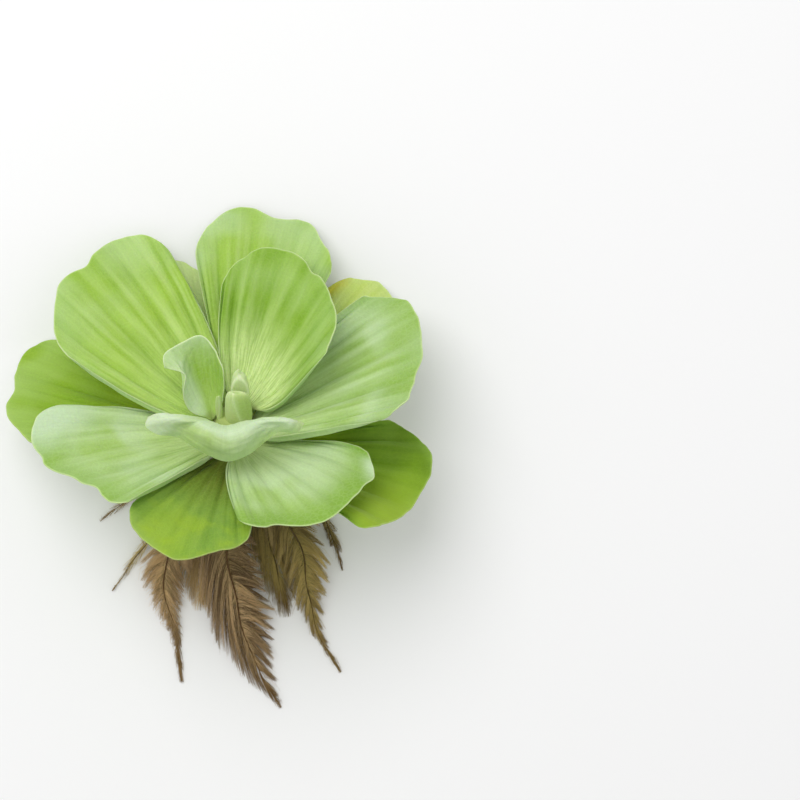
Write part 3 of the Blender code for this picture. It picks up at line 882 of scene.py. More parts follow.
class FoldedBlade(Blade):
    """A young leaf, laid through its net of points."""

    SWELLING_RISE, CRINKLE_RISE = (0.1, 0.4), (0.35, 0.9)

    def __init__(self, form: YoungForm, cut: LeafCut, rng: np.random.Generator) -> None:
        """Take the leaf's net; its length is that of the net's middle column.

        Args:
            form: the leaf's net and fleshiness.
            cut: how finely it is cut.
            rng: source of its small irregularities.
        """
        self.net = np.array(form.net)
        spine = self.net[:, self.net.shape[1] // 2]
        length = float(np.linalg.norm(np.diff(spine, axis=0), axis=1).sum())
        super().__init__(length, form.fleshiness, cut, rng)

    def lay(self) -> tuple[np.ndarray, np.ndarray, np.ndarray]:
        """Lay the leaf in the flat and in the plant's frame.

        Smooth curves run through each row of the net, and smooth curves across those give
        the surface. In front of the first row it runs straight on into the stem. Soft
        random swelling is added all over, and shorter crinkles towards the margin.

        Returns:
            Places across and along in the flat, and the blade's middle surface.
        """
        across = 0.5 * (self.w[0] + 1.0)
        along = np.clip(self.v[:, 0], 0.0, 1.0)
        rows = np.stack([curve_through(row, across) for row in self.net])
        surface = curve_through(rows, along)
        start = curve_through(rows, np.array([0.0, 0.02]))
        foot = np.minimum(self.v, 0.0)[..., None] / 0.02 * (start[1] - start[0])
        middle = from_world(surface + foot)
        x = self.w * 0.4 * self.length * (0.3 + np.clip(self.v, 0.0, 1.0))
        y = self.v * self.length + 0.0 * self.w
        face = unit(np.cross(np.gradient(middle, axis=0), np.gradient(middle, axis=1)))
        lift = sum(height * smooth(self.v, *rise) * swell(x, y, size, self.rng)
                   for (height, size), rise in ((self.cut.swelling, self.SWELLING_RISE),
                                                (self.cut.crinkle, self.CRINKLE_RISE)))
        middle = middle + face * lift[..., None]
        return x, y, middle


@dataclass(frozen=True)
class BudForm:
    """A young leaf still rolled up, standing on the stem like a blunt cone."""

    name: str
    foot: tuple                        # of its axis, in the plant's frame
    top: tuple
    half_width: float
    half_depth: float
    seam: float                        # where the roll's outer edge is, round the bud
    twist: float = 40.0                # how far the seam turns from foot to top
    point: float = 0.0                 # how much narrower the top is
    roll: float = 0.3                  # share of the radius that one turn of the roll adds
    hood: float = 0.0                  # how far it opens to the front, under a raised rim
    finish: LeafFinish = LeafFinish()


class Bud:
    """A rolled leaf as one closed skin with its outer edge lying along it."""

    PROFILE = ((0.60, -0.14), (0.84, 0.0), (0.98, 0.15), (1.0, 0.35), (0.96, 0.6),
               (0.90, 0.80), (0.76, 0.94), (0.54, 1.0), (0.34, 0.97), (0.1, 0.86))
    CLOSED = ((0.60, -0.14), (0.84, 0.0), (0.98, 0.15), (1.0, 0.35), (0.97, 0.6),
              (0.90, 0.76), (0.74, 0.89), (0.5, 0.96), (0.26, 0.99), (0.06, 1.0))
    RINGS = 80
    SIDES = 96
    FRONT = 1.5 * math.pi              # the direction that the plant shows when it lies
    HOOD_HALF_ANGLE = 1.0
    HOOD_CENTRE = 0.58
    HOOD_HALF_LENGTH = 0.36
    RIM_HEIGHT, RIM_WIDTH = 0.10, 0.17           # shares of the bud's radius and of the oval
    HOLLOW = 0.20
    STREAKS, STREAK_HEIGHT = 14.0, 0.012

    def __init__(self, form: BudForm) -> None:
        """Take the bud's form."""
        self.form = form

    def skin(self) -> Skin:
        """The skin: ovals along the axis, each a spiral that steps in at the seam.

        The radius is the profile's share times one less a share that grows round the bud
        from the seam, and is back at one where it meets the seam again. A hooded bud is
        hollowed inside an oval on its front, and its rim stands up along that oval.

        Returns:
            The closed skin, with the values of a leaf's finish.
        """
        form = self.form
        profile = self.CLOSED if form.hood else self.PROFILE
        line = curve_through(profile, np.linspace(0.0, 1.0, self.RINGS))
        share, along = line[:, :1], line[:, 1:]
        share = share * (1.0 - form.point * smooth(along, 0.5, 1.0))
        turn = np.linspace(0.0, 2.0 * math.pi, self.SIDES, endpoint=False)[None, :]
        seam = math.radians(form.seam) + math.radians(form.twist) * along
        round_it = ((turn - seam) / (2.0 * math.pi)) % 1.0
        layer = 1.0 - form.roll * (round_it - smooth(round_it, 0.965, 1.0))
        aside = (turn - self.FRONT) / self.HOOD_HALF_ANGLE
        oval = np.hypot(aside, (along - self.HOOD_CENTRE) / self.HOOD_HALF_LENGTH)
        rim = form.hood * bump_at(oval, 1.0, self.RIM_WIDTH)
        layer = (layer + self.RIM_HEIGHT * rim
                 - self.HOLLOW * form.hood * (1.0 - smooth(oval, 0.2, 1.0)))
        layer = layer + self.STREAK_HEIGHT * np.sin(self.STREAKS * turn + 3.0 * along)
        x = form.half_width * share * layer * np.cos(turn)
        y = form.half_depth * share * layer * np.sin(turn)
        foot, top = np.array(form.foot), np.array(form.top)
        lean = along + 0.05 * smooth(along, 0.6, 1.0) * np.cos(turn - seam)
        middle = foot + (top - foot) * lean[..., None] + np.stack([x, y, 0.0 * x], axis=-1)
        size = 0.5 * (form.half_width + form.half_depth)
        past_seam = round_it * 2.0 * math.pi * size
        nothing = 0.0 * x
        values = dict.fromkeys(VEIN_VALUES, nothing)
        values |= {"across": 2.0 * round_it - 1.0 + nothing,
                   "along": 0.1 + 0.75 * np.clip(along, 0.0, 1.0) + nothing,
                   # painted shade just under the roll's outer edge, through the leaf skin's
                   # groove shade
                   "groove": smooth(round_it, 0.93, 0.98) + nothing,
                   "margin": np.maximum(0.9 * np.exp(-past_seam / 0.45), rim) + nothing}
        values = {key: number.ravel() for key, number in values.items()}
        flat = np.stack([turn * size + nothing, along * 12.0 + nothing, nothing], axis=-1)
        values["flat"] = flat.reshape(-1, 3) * MILLIMETRE
        return Skin(to_world(middle.reshape(-1, 3)), tube_faces(self.RINGS, self.SIDES), values)


# its pale stain at the top edge is the velvety bloom, partly painted highlight
PLAIN = LeafFinish(fresh=(0.32, 0.52, 0.040), base=(0.54, 0.72, 0.20), bloom_amount=0.3,
                   stain=(0.50, 0.67, 0.30), stain_amount=0.55, stain_at=(-0.3, 1.0),
                   stain_size=0.3)
FROSTED = LeafFinish(fresh=(0.34, 0.52, 0.10), deep=(0.22, 0.40, 0.04),
                     pale=(0.54, 0.70, 0.34), base=(0.58, 0.74, 0.30),
                     bloom=(0.60, 0.74, 0.48), bloom_amount=0.75)
BRIGHT = replace(FROSTED, base=(0.64, 0.80, 0.38), tip_amount=0.5, bloom_along=0.7)
# its pale stain on the upper edge near the tip is painted highlight
TIPPED = replace(FROSTED, bloom_along=0.6, vein_amount=0.6, bloom_amount=0.75,
                 tip_amount=0.55, stain=(0.62, 0.76, 0.54), stain_amount=0.8,
                 stain_at=(-0.55, 0.95), stain_size=0.4)
FRONT = replace(FROSTED, bloom_along=0.5, vein_amount=0.45, tip_amount=0.9,
                fresh=(0.34, 0.52, 0.11), stain=(0.62, 0.76, 0.52), stain_amount=0.8,
                stain_at=(0.62, 1.0), stain_size=0.25)
VIVID = LeafFinish(fresh=(0.24, 0.43, 0.022), deep=(0.15, 0.32, 0.005),
                   pale=(0.38, 0.56, 0.14), base=(0.80, 0.94, 0.44), bloom_amount=0.25)
DEEP = LeafFinish(fresh=(0.25, 0.43, 0.008), deep=(0.16, 0.32, 0.004),
                  pale=(0.38, 0.56, 0.08), base=(0.48, 0.64, 0.006),
                  bloom=(0.40, 0.57, 0.16), bloom_amount=0.6, vein_amount=0.5,
                  edge=(0.46, 0.58, 0.20))
# its dark base is partly a real red-brown and partly painted shade under the leaves above
PATCHED = replace(DEEP, vein_amount=0.3, base=(0.15, 0.16, 0.012),
                  fresh=(0.20, 0.35, 0.05), deep=(0.15, 0.30, 0.01),
                  edge=(0.42, 0.50, 0.16), bloom=(0.36, 0.52, 0.10), bloom_amount=0.5,
                  stain=(0.37, 0.53, 0.02), stain_amount=0.4, mottle_amount=0.5,
                  stain_at=(-0.25, 0.82), stain_size=0.35)
SHADED = replace(DEEP, fresh=(0.17, 0.31, 0.003), deep=(0.10, 0.20, 0.001),
                 pale=(0.28, 0.44, 0.04), bloom=(0.28, 0.45, 0.06), stain_amount=0.6,
                 stain=(0.36, 0.50, 0.03), stain_at=(-0.5, 0.9), stain_size=0.7)
YELLOWED = LeafFinish(fresh=(0.52, 0.64, 0.14), deep=(0.44, 0.58, 0.06),
                      pale=(0.60, 0.70, 0.26), base=(0.56, 0.64, 0.12), bloom_amount=0.2,
                      stain=(0.74, 0.68, 0.05), stain_amount=0.9, stain_at=(0.5, 0.92))
FADED = LeafFinish(fresh=(0.66, 0.80, 0.34), deep=(0.58, 0.74, 0.24), bloom_amount=0.3)
INNER = replace(FROSTED, fresh=(0.30, 0.49, 0.05), deep=(0.24, 0.42, 0.03),
                base=(0.44, 0.60, 0.16), vein_amount=0.35, edge=(0.78, 0.90, 0.58),
                shade=(0.36, 0.46, 0.14), stain=(0.72, 0.86, 0.60), stain_amount=0.9,
                stain_at=(0.75, 0.45), stain_size=0.62, bloom_amount=0.5)
# its pale stain at the left end and its strong bloom over the roll's crest are painted highlight
CURLED = replace(FROSTED, fresh=(0.44, 0.60, 0.20), deep=(0.36, 0.54, 0.13),
                 pale=(0.58, 0.72, 0.40), base=(0.60, 0.74, 0.40), vein_amount=0.3,
                 bloom=(0.62, 0.76, 0.54), bloom_amount=0.9, bloom_along=0.6,
                 stain=(0.70, 0.82, 0.62), stain_amount=0.7, stain_at=(-0.85, 0.85),
                 stain_size=0.5)
BUD = LeafFinish(fresh=(0.64, 0.76, 0.38), deep=(0.50, 0.64, 0.24),
                 pale=(0.66, 0.77, 0.44), base=(0.58, 0.66, 0.26),
                 edge=(0.88, 0.96, 0.66), bloom=(0.62, 0.74, 0.44), bloom_amount=0.5,
                 vein_amount=0.3)
# its dark stain is painted shade inside the rolled flap
FLAPPED = replace(BUD, stain=(0.36, 0.52, 0.10), stain_amount=0.7, stain_at=(-0.75, 0.5),
                  stain_size=0.6)

LEAVES = (
    LeafForm("leaf_back_left_low", Slot.LEAF_GREEN, 108, 30.5, 52.5, (14, 16), 1.2,
             (0.69, 0.78, 0.86, 0.91, 1.00, 1.00, 0.92, 0.82, 0.69), cup=(15, 15), arch=-7,
             half_base=2.9, finish=FADED),
    LeafForm("leaf_back_right_low", Slot.LEAF_GREEN, 46, 24, 56.9, (16, 14), 1.2,
             (0.69, 0.81, 0.92, 0.99, 1.03, 0.98, 0.92, 0.77, 0.63), cup=(15, 15), arch=-6,
             finish=YELLOWED),
    LeafForm("leaf_left_low", Slot.LEAF_DEEP, 164, 6, 63.4, (18, 25), 1.2,
             (0.76, 0.87, 0.97, 1.00, 0.96, 0.93, 0.84, 0.76, 0.66), cup=(20, 16),
             pleat=0.4, notches=((0.07, 0.09, 1.1),), finish=DEEP),
    LeafForm("leaf_front_low", Slot.LEAF_GREEN, 258, 12, 46.6, (28, 22), 1,
             (0.63, 0.76, 0.88, 0.94, 0.99, 0.92, 0.86, 0.78, 0.66), pleat=0.2,
             finish=PATCHED),
    LeafForm("leaf_right_low", Slot.LEAF_DEEP, 342, 2, 53.7, (27, 24), 1,
             (0.80, 0.87, 0.90, 0.93, 0.94, 0.95, 0.87, 0.76, 0.70), flare=(0.90, 1.14),
             finish=SHADED),
    LeafForm("leaf_back", Slot.LEAF_GREEN, 79, 33, 65.1, (20, 21), 4.8,
             (0.73, 0.79, 0.86, 0.95, 0.94, 0.98, 0.92, 0.83, 0.71), flare=(1.0, 0.91),
             cup=(18, 14), arch=-8),
    LeafForm("leaf_left_front", Slot.LEAF_GREEN, 205, 10, 51.1, (27, 28), 5,
             (0.68, 0.82, 0.95, 0.96, 0.90, 0.78, 0.75, 0.72, 0.70), flare=(1.85, 1.09),
             half_base=4.6, cup=(22, 22), pleat=0.5,
             notches=((-0.2, 0.07, 1.1), (0.08, 0.08, 1.5), (0.3, 0.08, 0.6)),
             finish=TIPPED),
    LeafForm("leaf_front_right", Slot.LEAF_PALE, 305, 12, 45.1, (28, 34), 4,
             (0.70, 0.80, 0.85, 0.83, 0.94, 0.92, 0.91, 0.81, 0.69), flare=(1.85, 1.69),
             half_base=4.3, cup=(24, 19), pleat=0.3,
             notches=((-0.35, 0.1, 0.8), (0.4, 0.08, 1.2)), finish=FRONT),
    LeafForm("leaf_back_left", Slot.LEAF_GREEN, 135, 26, 60.9, (19, 29), 8.4,
             (0.65, 0.82, 0.94, 1.00, 0.97, 0.95, 0.84, 0.74, 0.65), flare=(1.85, 1.85),
             half_base=5.5, cup=(30, 8), notches=((0.04, 0.07, 1.4),),
             folds=((-0.1, 0.12, 0.7),), finish=PLAIN),
    LeafForm("leaf_right", Slot.LEAF_GREEN, 9, 26, 55.7, (24, 27), 6.5,
             (0.72, 0.80, 0.87, 0.89, 0.96, 0.99, 0.99, 0.89, 0.82), flare=(1.85, 1.8),
             half_base=4.0, cup=(19, 26), pleat=0.75,
             notches=((-0.15, 0.08, 1.6), (0.55, 0.06, 0.5)),
             folds=((0.02, 0.08, 1.0), (0.45, 0.12, 0.8)), finish=BRIGHT),
    LeafForm("leaf_back_inner", Slot.LEAF_PALE, 60, 41, 45.3, (46, 26), 10.9,
             (0.68, 0.71, 0.78, 0.88, 0.99, 1.00, 0.90, 0.80, 0.71), flare=(1.85, 1.85),
             half_base=4.7, cup=(43, 30), pleat=0.65, notches=((-0.07, 0.05, 1.6),),
             folds=((-0.15, 0.05, 1.1),), finish=VIVID),
)

FOLDED_NET = (
    ((-4.3, 8.9, 7.9), (-4.6, 9.1, 7.1), (-5.1, 9.4, 6.5), (-5.7, 9.4, 6.3), (-6.3, 9, 6.7),
     (-6.8, 8.6, 7.6), (-7.2, 8.2, 8.9)),
    ((-2.4, 11.7, 10), (-3.4, 13.1, 8), (-4.6, 14.3, 7), (-6.3, 14.8, 6.5), (-8.5, 13.7, 7),
     (-10.3, 12, 9), (-11.2, 10.1, 12)),
    ((-1.8, 14.8, 12), (-3.2, 17.9, 9.5), (-5.1, 19.6, 8), (-7.4, 20.5, 7.5), (-10.7, 18.8, 8),
     (-12.4, 17.1, 11), (-12.8, 14.5, 15)),
    ((-1.4, 17.6, 13), (-3.1, 21.8, 11), (-5.2, 24.7, 9.5), (-8.1, 26.1, 9), (-12.2, 24.7, 10),
     (-13.9, 22.7, 13), (-12.3, 20.1, 15)),
    ((-1.5, 19.9, 13.5), (-3, 24.9, 12), (-5.4, 28.9, 11), (-8.8, 31.4, 10.5),
     (-14.3, 28.9, 11.5), (-18.3, 26, 13), (-18.3, 22.1, 13.5)),
)

CURLED_NET = (
    ((-2.6, 4, 10.9), (-2.3, 3.6, 10.7), (-1.7, 3.3, 10.5), (-1.1, 3, 10.4),
     (-0.4, 2.9, 10.4), (0.3, 2.8, 10.4), (0.9, 2.8, 10.4), (1.5, 2.9, 10.5),
     (2.1, 3.1, 10.6), (2.7, 3.5, 10.7), (3.2, 3.9, 10.9)),
    ((-5.6, 7.8, 21), (-5, 7.5, 21.5), (-4.5, 7.2, 21.5), (-3.6, 6.8, 21.5),
     (-2.2, 6.1, 22), (0, 5.6, 22), (2.5, 6.2, 22), (4.4, 6.7, 21.5), (5.5, 6.9, 21.5),
     (6.6, 7.2, 21.5), (7.4, 7.5, 21)),
    ((-10.8, 8.9, 27), (-9.9, 8.2, 28), (-8.8, 7.5, 28.5), (-6.9, 6.9, 28),
     (-3.8, 5.6, 29.5), (0.3, 4.6, 29.5), (4.1, 5.5, 29.5), (7.3, 6.7, 28.5),
     (9.5, 7.3, 28), (11.7, 7.8, 28), (12.4, 8.6, 27)),
    ((-17.7, 9.6, 29.5), (-16.2, 8.1, 30.5), (-14.1, 6.9, 29.5), (-11.1, 5.6, 26.8),
     (-5.3, 3.2, 30.5), (0.3, 0.6, 30), (5.3, 2.3, 30.5), (9.5, 5.2, 28), (13, 6.6, 27.5),
     (16.9, 7, 30), (18, 8.1, 29)),
    ((-21.2, 8.6, 27.5), (-22, 6, 26.5), (-18.7, 3.8, 25.5), (-13.3, 2.8, 24),
     (-7, -0.9, 24.5), (-0.1, -3.8, 24), (5.7, -2, 24.5), (10.6, 1.7, 24.5),
     (14.8, 4.2, 25.5), (19.5, 4.2, 26), (21.5, 6.7, 27.5)),
)

YOUNG_LEAVES = (
    YoungForm("young_leaf_folded", Slot.LEAF_PALE, FOLDED_NET, finish=INNER),
    YoungForm("young_leaf_curled", Slot.LEAF_PALE, CURLED_NET, finish=CURLED),
)

BUDS = (
    BudForm("bud_front", (2.2, -1.4, 11.5), (2.2, -1.2, 22.8), 4.3, 2.3, 285, twist=-35.0,
            roll=0.24, finish=FLAPPED),
    BudForm("bud_back", (2.6, 2.9, 11.5), (3.1, 3.2, 26.5), 2.8, 1.8, 90, point=0.1,
            roll=0.1, hood=1.0, finish=BUD),
    BudForm("bud_left", (-3.1, 0.0, 11.5), (-3.1, -0.4, 20.5), 1.1, 0.85, 250, point=0.2,
            roll=0.12, finish=BUD),
)


@dataclass
class Rosette:
    """All the leaves, from the lowest to the rolled ones at the heart."""

    leaves: tuple[LeafForm, ...] = LEAVES
    young: tuple[YoungForm, ...] = YOUNG_LEAVES
    buds: tuple[BudForm, ...] = BUDS
    open_cut: LeafCut = LeafCut()
    young_cut: LeafCut = LeafCut(columns=96, rows=64, groove_depth=0.14, rib_height=0.35,
                                 sink=2.4, swelling=(0.12, 14.0))

    def build(self) -> None:
        """Make every leaf with its own finish."""
        group = leaf_skin_group()
        blades = [(form, OpenBlade(form, self.open_cut, random_for(form.name)), form.slot)
                  for form in self.leaves]
        blades += [(form, FoldedBlade(form, self.young_cut, random_for(form.name)), form.slot)
                   for form in self.young]
        blades += [(form, Bud(form), Slot.BUD) for form in self.buds]
        for number, (form, blade, slot) in enumerate(blades):
            finish = replace(form.finish, seed=0.37 * number)
            material = leaf_material(form.name + "_skin", finish, group)
            blade.skin().into_piece(form.name + "_blade", material, slot, form.name)


@dataclass
class Stem:
    """The short stem: a rounded cone ringed by the scars of old leaves."""

    profile: tuple = ((0.45, -4.3), (0.62, -3.9), (0.88, -2.2), (1.0, 0.5), (1.0, 6.5),
                      (0.86, 8.8), (0.70, 10.6), (0.52, 11.8), (0.28, 12.5))
    rings: int = 60
    sides: int = 72
    scar_depth: float = 0.25
    scar_pitch: float = 1.6
    roughness: tuple = (0.15, 6.0)                       # height and length of its waves
    swelling_heights: tuple = (6.5, 8.8, 11.2, 12.5)     # starts, full, still full, gone

    def build(self) -> None:
        """Turn the profile about the stem's axis, with scars and bumps on it.

        The radius is the profile's, less a groove at each scar, plus random swelling and a
        smooth bulge at the back that goes with the cosine of the angle from its middle.
        """
        share = np.linspace(0.0, 1.0, self.rings)
        turn = np.linspace(0.0, 2.0 * math.pi, self.sides, endpoint=False)[None, :]
        line = curve_through(self.profile, share)
        radius, height = STEM_RADIUS * line[:, :1], line[:, 1:] + 0.0 * turn
        scars = np.sin(2.0 * math.pi * (height / self.scar_pitch + turn / (2.0 * math.pi)))
        radius = radius - self.scar_depth * np.clip(scars, 0.0, 1.0) ** 3
        rough, size = self.roughness
        radius = radius + rough * swell(turn * 6.0, height, size, np.random.default_rng(7))
        start, full, still, gone = self.swelling_heights
        behind = np.clip(np.cos(turn - math.radians(SWELLING_AZIMUTH)), 0.0, 1.0)
        swollen = smooth(height, start, full) * (1.0 - smooth(height, still, gone))
        radius = radius + STEM_SWELLING * swollen * behind
        rings = np.stack([radius * np.cos(turn), radius * np.sin(turn), height], axis=-1)
        skin = Skin(to_world(rings.reshape(-1, 3)), tube_faces(self.rings, self.sides),
                    {"along": np.repeat(share, self.sides)})
        skin.into_piece("stem_body", self.material(), Slot.STEM, "stem")

    @staticmethod
    def material() -> Material:
        """Mix the stem's skin: rough green-brown, paler and greener towards the heart.

        Returns:
            The material.
        """
        material, sheet, shader = principled("stem_skin")
        place = sheet.add("ShaderNodeTexCoord").outputs["Object"]
        blotch = sheet.noise(place, 500.0, 3.0, 0.6)
        colour = sheet.mix(sheet.step(blotch, 0.3, 0.7), (0.10, 0.07, 0.02),
                           (0.24, 0.17, 0.06))
        green = sheet.step(sheet.value_of("along"), 0.45, 0.75, 0.0, 0.95)
        colour = sheet.mix(green, colour, (0.42, 0.52, 0.16))
        sheet.fill(shader, {"Base Color": colour, "Normal": sheet.bump(blotch, 0.6, 0.0003),
                            "Roughness": 0.8})
        return material


@dataclass(frozen=True)
class Plume:
    """One root with its fringe of rootlets, and the room that it fills.

    Pairs of values are for the fringe's right and left side as the camera sees them.
    """

    name: str
    route: tuple                       # (x, y, z) from the crown's foot on the surface
    half_width: tuple                  # along the route
    half_height: tuple
    tufts: int = 8                     # of rootlets along each side, in each layer
    rootlets: int = 3000
    spread: tuple = (38.0, 38.0)       # angle between the axis and the rootlets
    thickness: float = 0.36            # radius of the root's axis
    thread: float = 0.07               # radius of a rootlet
    loose: float = 1.0                 # how far rootlets stray from their tuft
    olive: float = 0.3                 # 0 red-brown, 1 olive
    light: float = 0.5                 # how pale the rootlets are
    seed: int = 1


PLUMES = (
    Plume("root_plume_middle",
          ((0, -3.5, 16), (-1.5, -15, 12.5), (-2.6, -28, 9.5), (-1, -41, 6.5),
           (1.5, -53, 3.2), (6, -66, 0.9), (12.7, -77.4, 0.6)),
          (0.9, 4.8, 9, 10.4, 10.2, 5.4, 0.15), (0.9, 2.2, 3, 3.2, 3, 2.2, 0.6),
          tufts=21, rootlets=9400, spread=(60, 24), loose=1.2, olive=0.1, light=0.55, seed=11),
    Plume("root_plume_left",
          ((-2.2, -3.4, 16), (-9, -14, 11.5), (-16, -25, 7.5), (-21, -35, 4),
           (-20.8, -45, 3.2), (-18.2, -56, 0.8), (-16.5, -70, 0.6)),
          (0.9, 4, 7.2, 7.8, 5.4, 1.7, 0.1), (0.9, 2, 2.8, 3, 2.6, 1.4, 0.5),
          tufts=16, rootlets=7000, spread=(26, 42), loose=1.8, olive=0.15, light=1.0, seed=12),
    Plume("root_plume_right",
          ((2.2, -3.4, 16), (9, -12, 12), (15, -22, 8.2), (19.5, -33, 5.1), (21, -44, 3),
           (23.5, -55, 0.9), (30.3, -67, 0.6)),
          (0.9, 4.2, 7.6, 8, 6, 2, 0.1), (0.9, 2, 2.8, 3, 2.8, 1.5, 0.5),
          tufts=16, rootlets=7000, spread=(40, 30), olive=0.8, light=0.9, seed=13),
    Plume("root_plume_under_left",
          ((-1.2, -1.9, 15), (-4, -9, 8.5), (-8, -18, 4), (-10.2, -27, 1.6),
           (-10.9, -35, 1.2), (-11.1, -42, 0.9), (-11, -49, 0.5)),
          (0.9, 3, 5.2, 6.4, 6.4, 5, 1.5), (0.9, 1.5, 1.8, 1.6, 1.2, 0.9, 0.5),
          tufts=9, rootlets=6400, spread=(20, 20), thread=0.06, loose=3.0, olive=0.35,
          light=1.35, seed=14),
    Plume("root_plume_under_right",
          ((1.2, -1.9, 15), (4, -9, 8.5), (7.2, -18, 4), (9.4, -28, 1.4), (11.2, -36, 1),
           (13, -43, 0.8), (14, -51, 0.5)),
          (0.9, 2.8, 4.6, 5.6, 5.6, 4.6, 1.4), (0.9, 1.5, 1.8, 1.4, 1, 0.8, 0.5),
          tufts=9, rootlets=5200, spread=(17, 17), thread=0.06, loose=3.0, olive=0.9,
          light=0.85, seed=15),
    Plume("root_side_left",
          ((-4.1, -2.4, 15.9), (-12, -10, 10), (-20, -19, 5), (-27, -29, 2),
           (-33, -37.5, 1), (-37, -43, 0.5)),
          (0.8, 1.2, 1.6, 1.8, 1.2, 0.1), (0.8, 0.9, 1, 1, 0.8, 0.5), tufts=5,
          rootlets=430, spread=(20, 20), thickness=0.26, olive=0.7, light=0.9, seed=16),
    Plume("root_side_right",
          ((4.1, -2.4, 15.9), (13, -8, 10), (21, -15, 5), (26, -23, 2), (29, -30, 1),
           (30.8, -37, 0.5)),
          (0.8, 1.2, 2, 2.4, 1.6, 0.1), (0.8, 0.9, 1, 1, 0.8, 0.5), tufts=5,
          rootlets=900, spread=(24, 24), thickness=0.22, olive=0.8, light=0.3, seed=17),
    Plume("root_side_far_left",
          ((-3.5, -0.4, 14.7), (-12, -4, 8), (-20, -8, 4), (-28, -13, 1.8), (-35, -18, 1),
           (-40.5, -22.5, 0.5)),
          (0.8, 1.6, 2.6, 2.4, 1.6, 0.1), (0.8, 0.9, 1, 1, 0.8, 0.5), tufts=5,
          rootlets=430, spread=(20, 20), thickness=0.26, olive=0.5, light=0.9, seed=18),
)


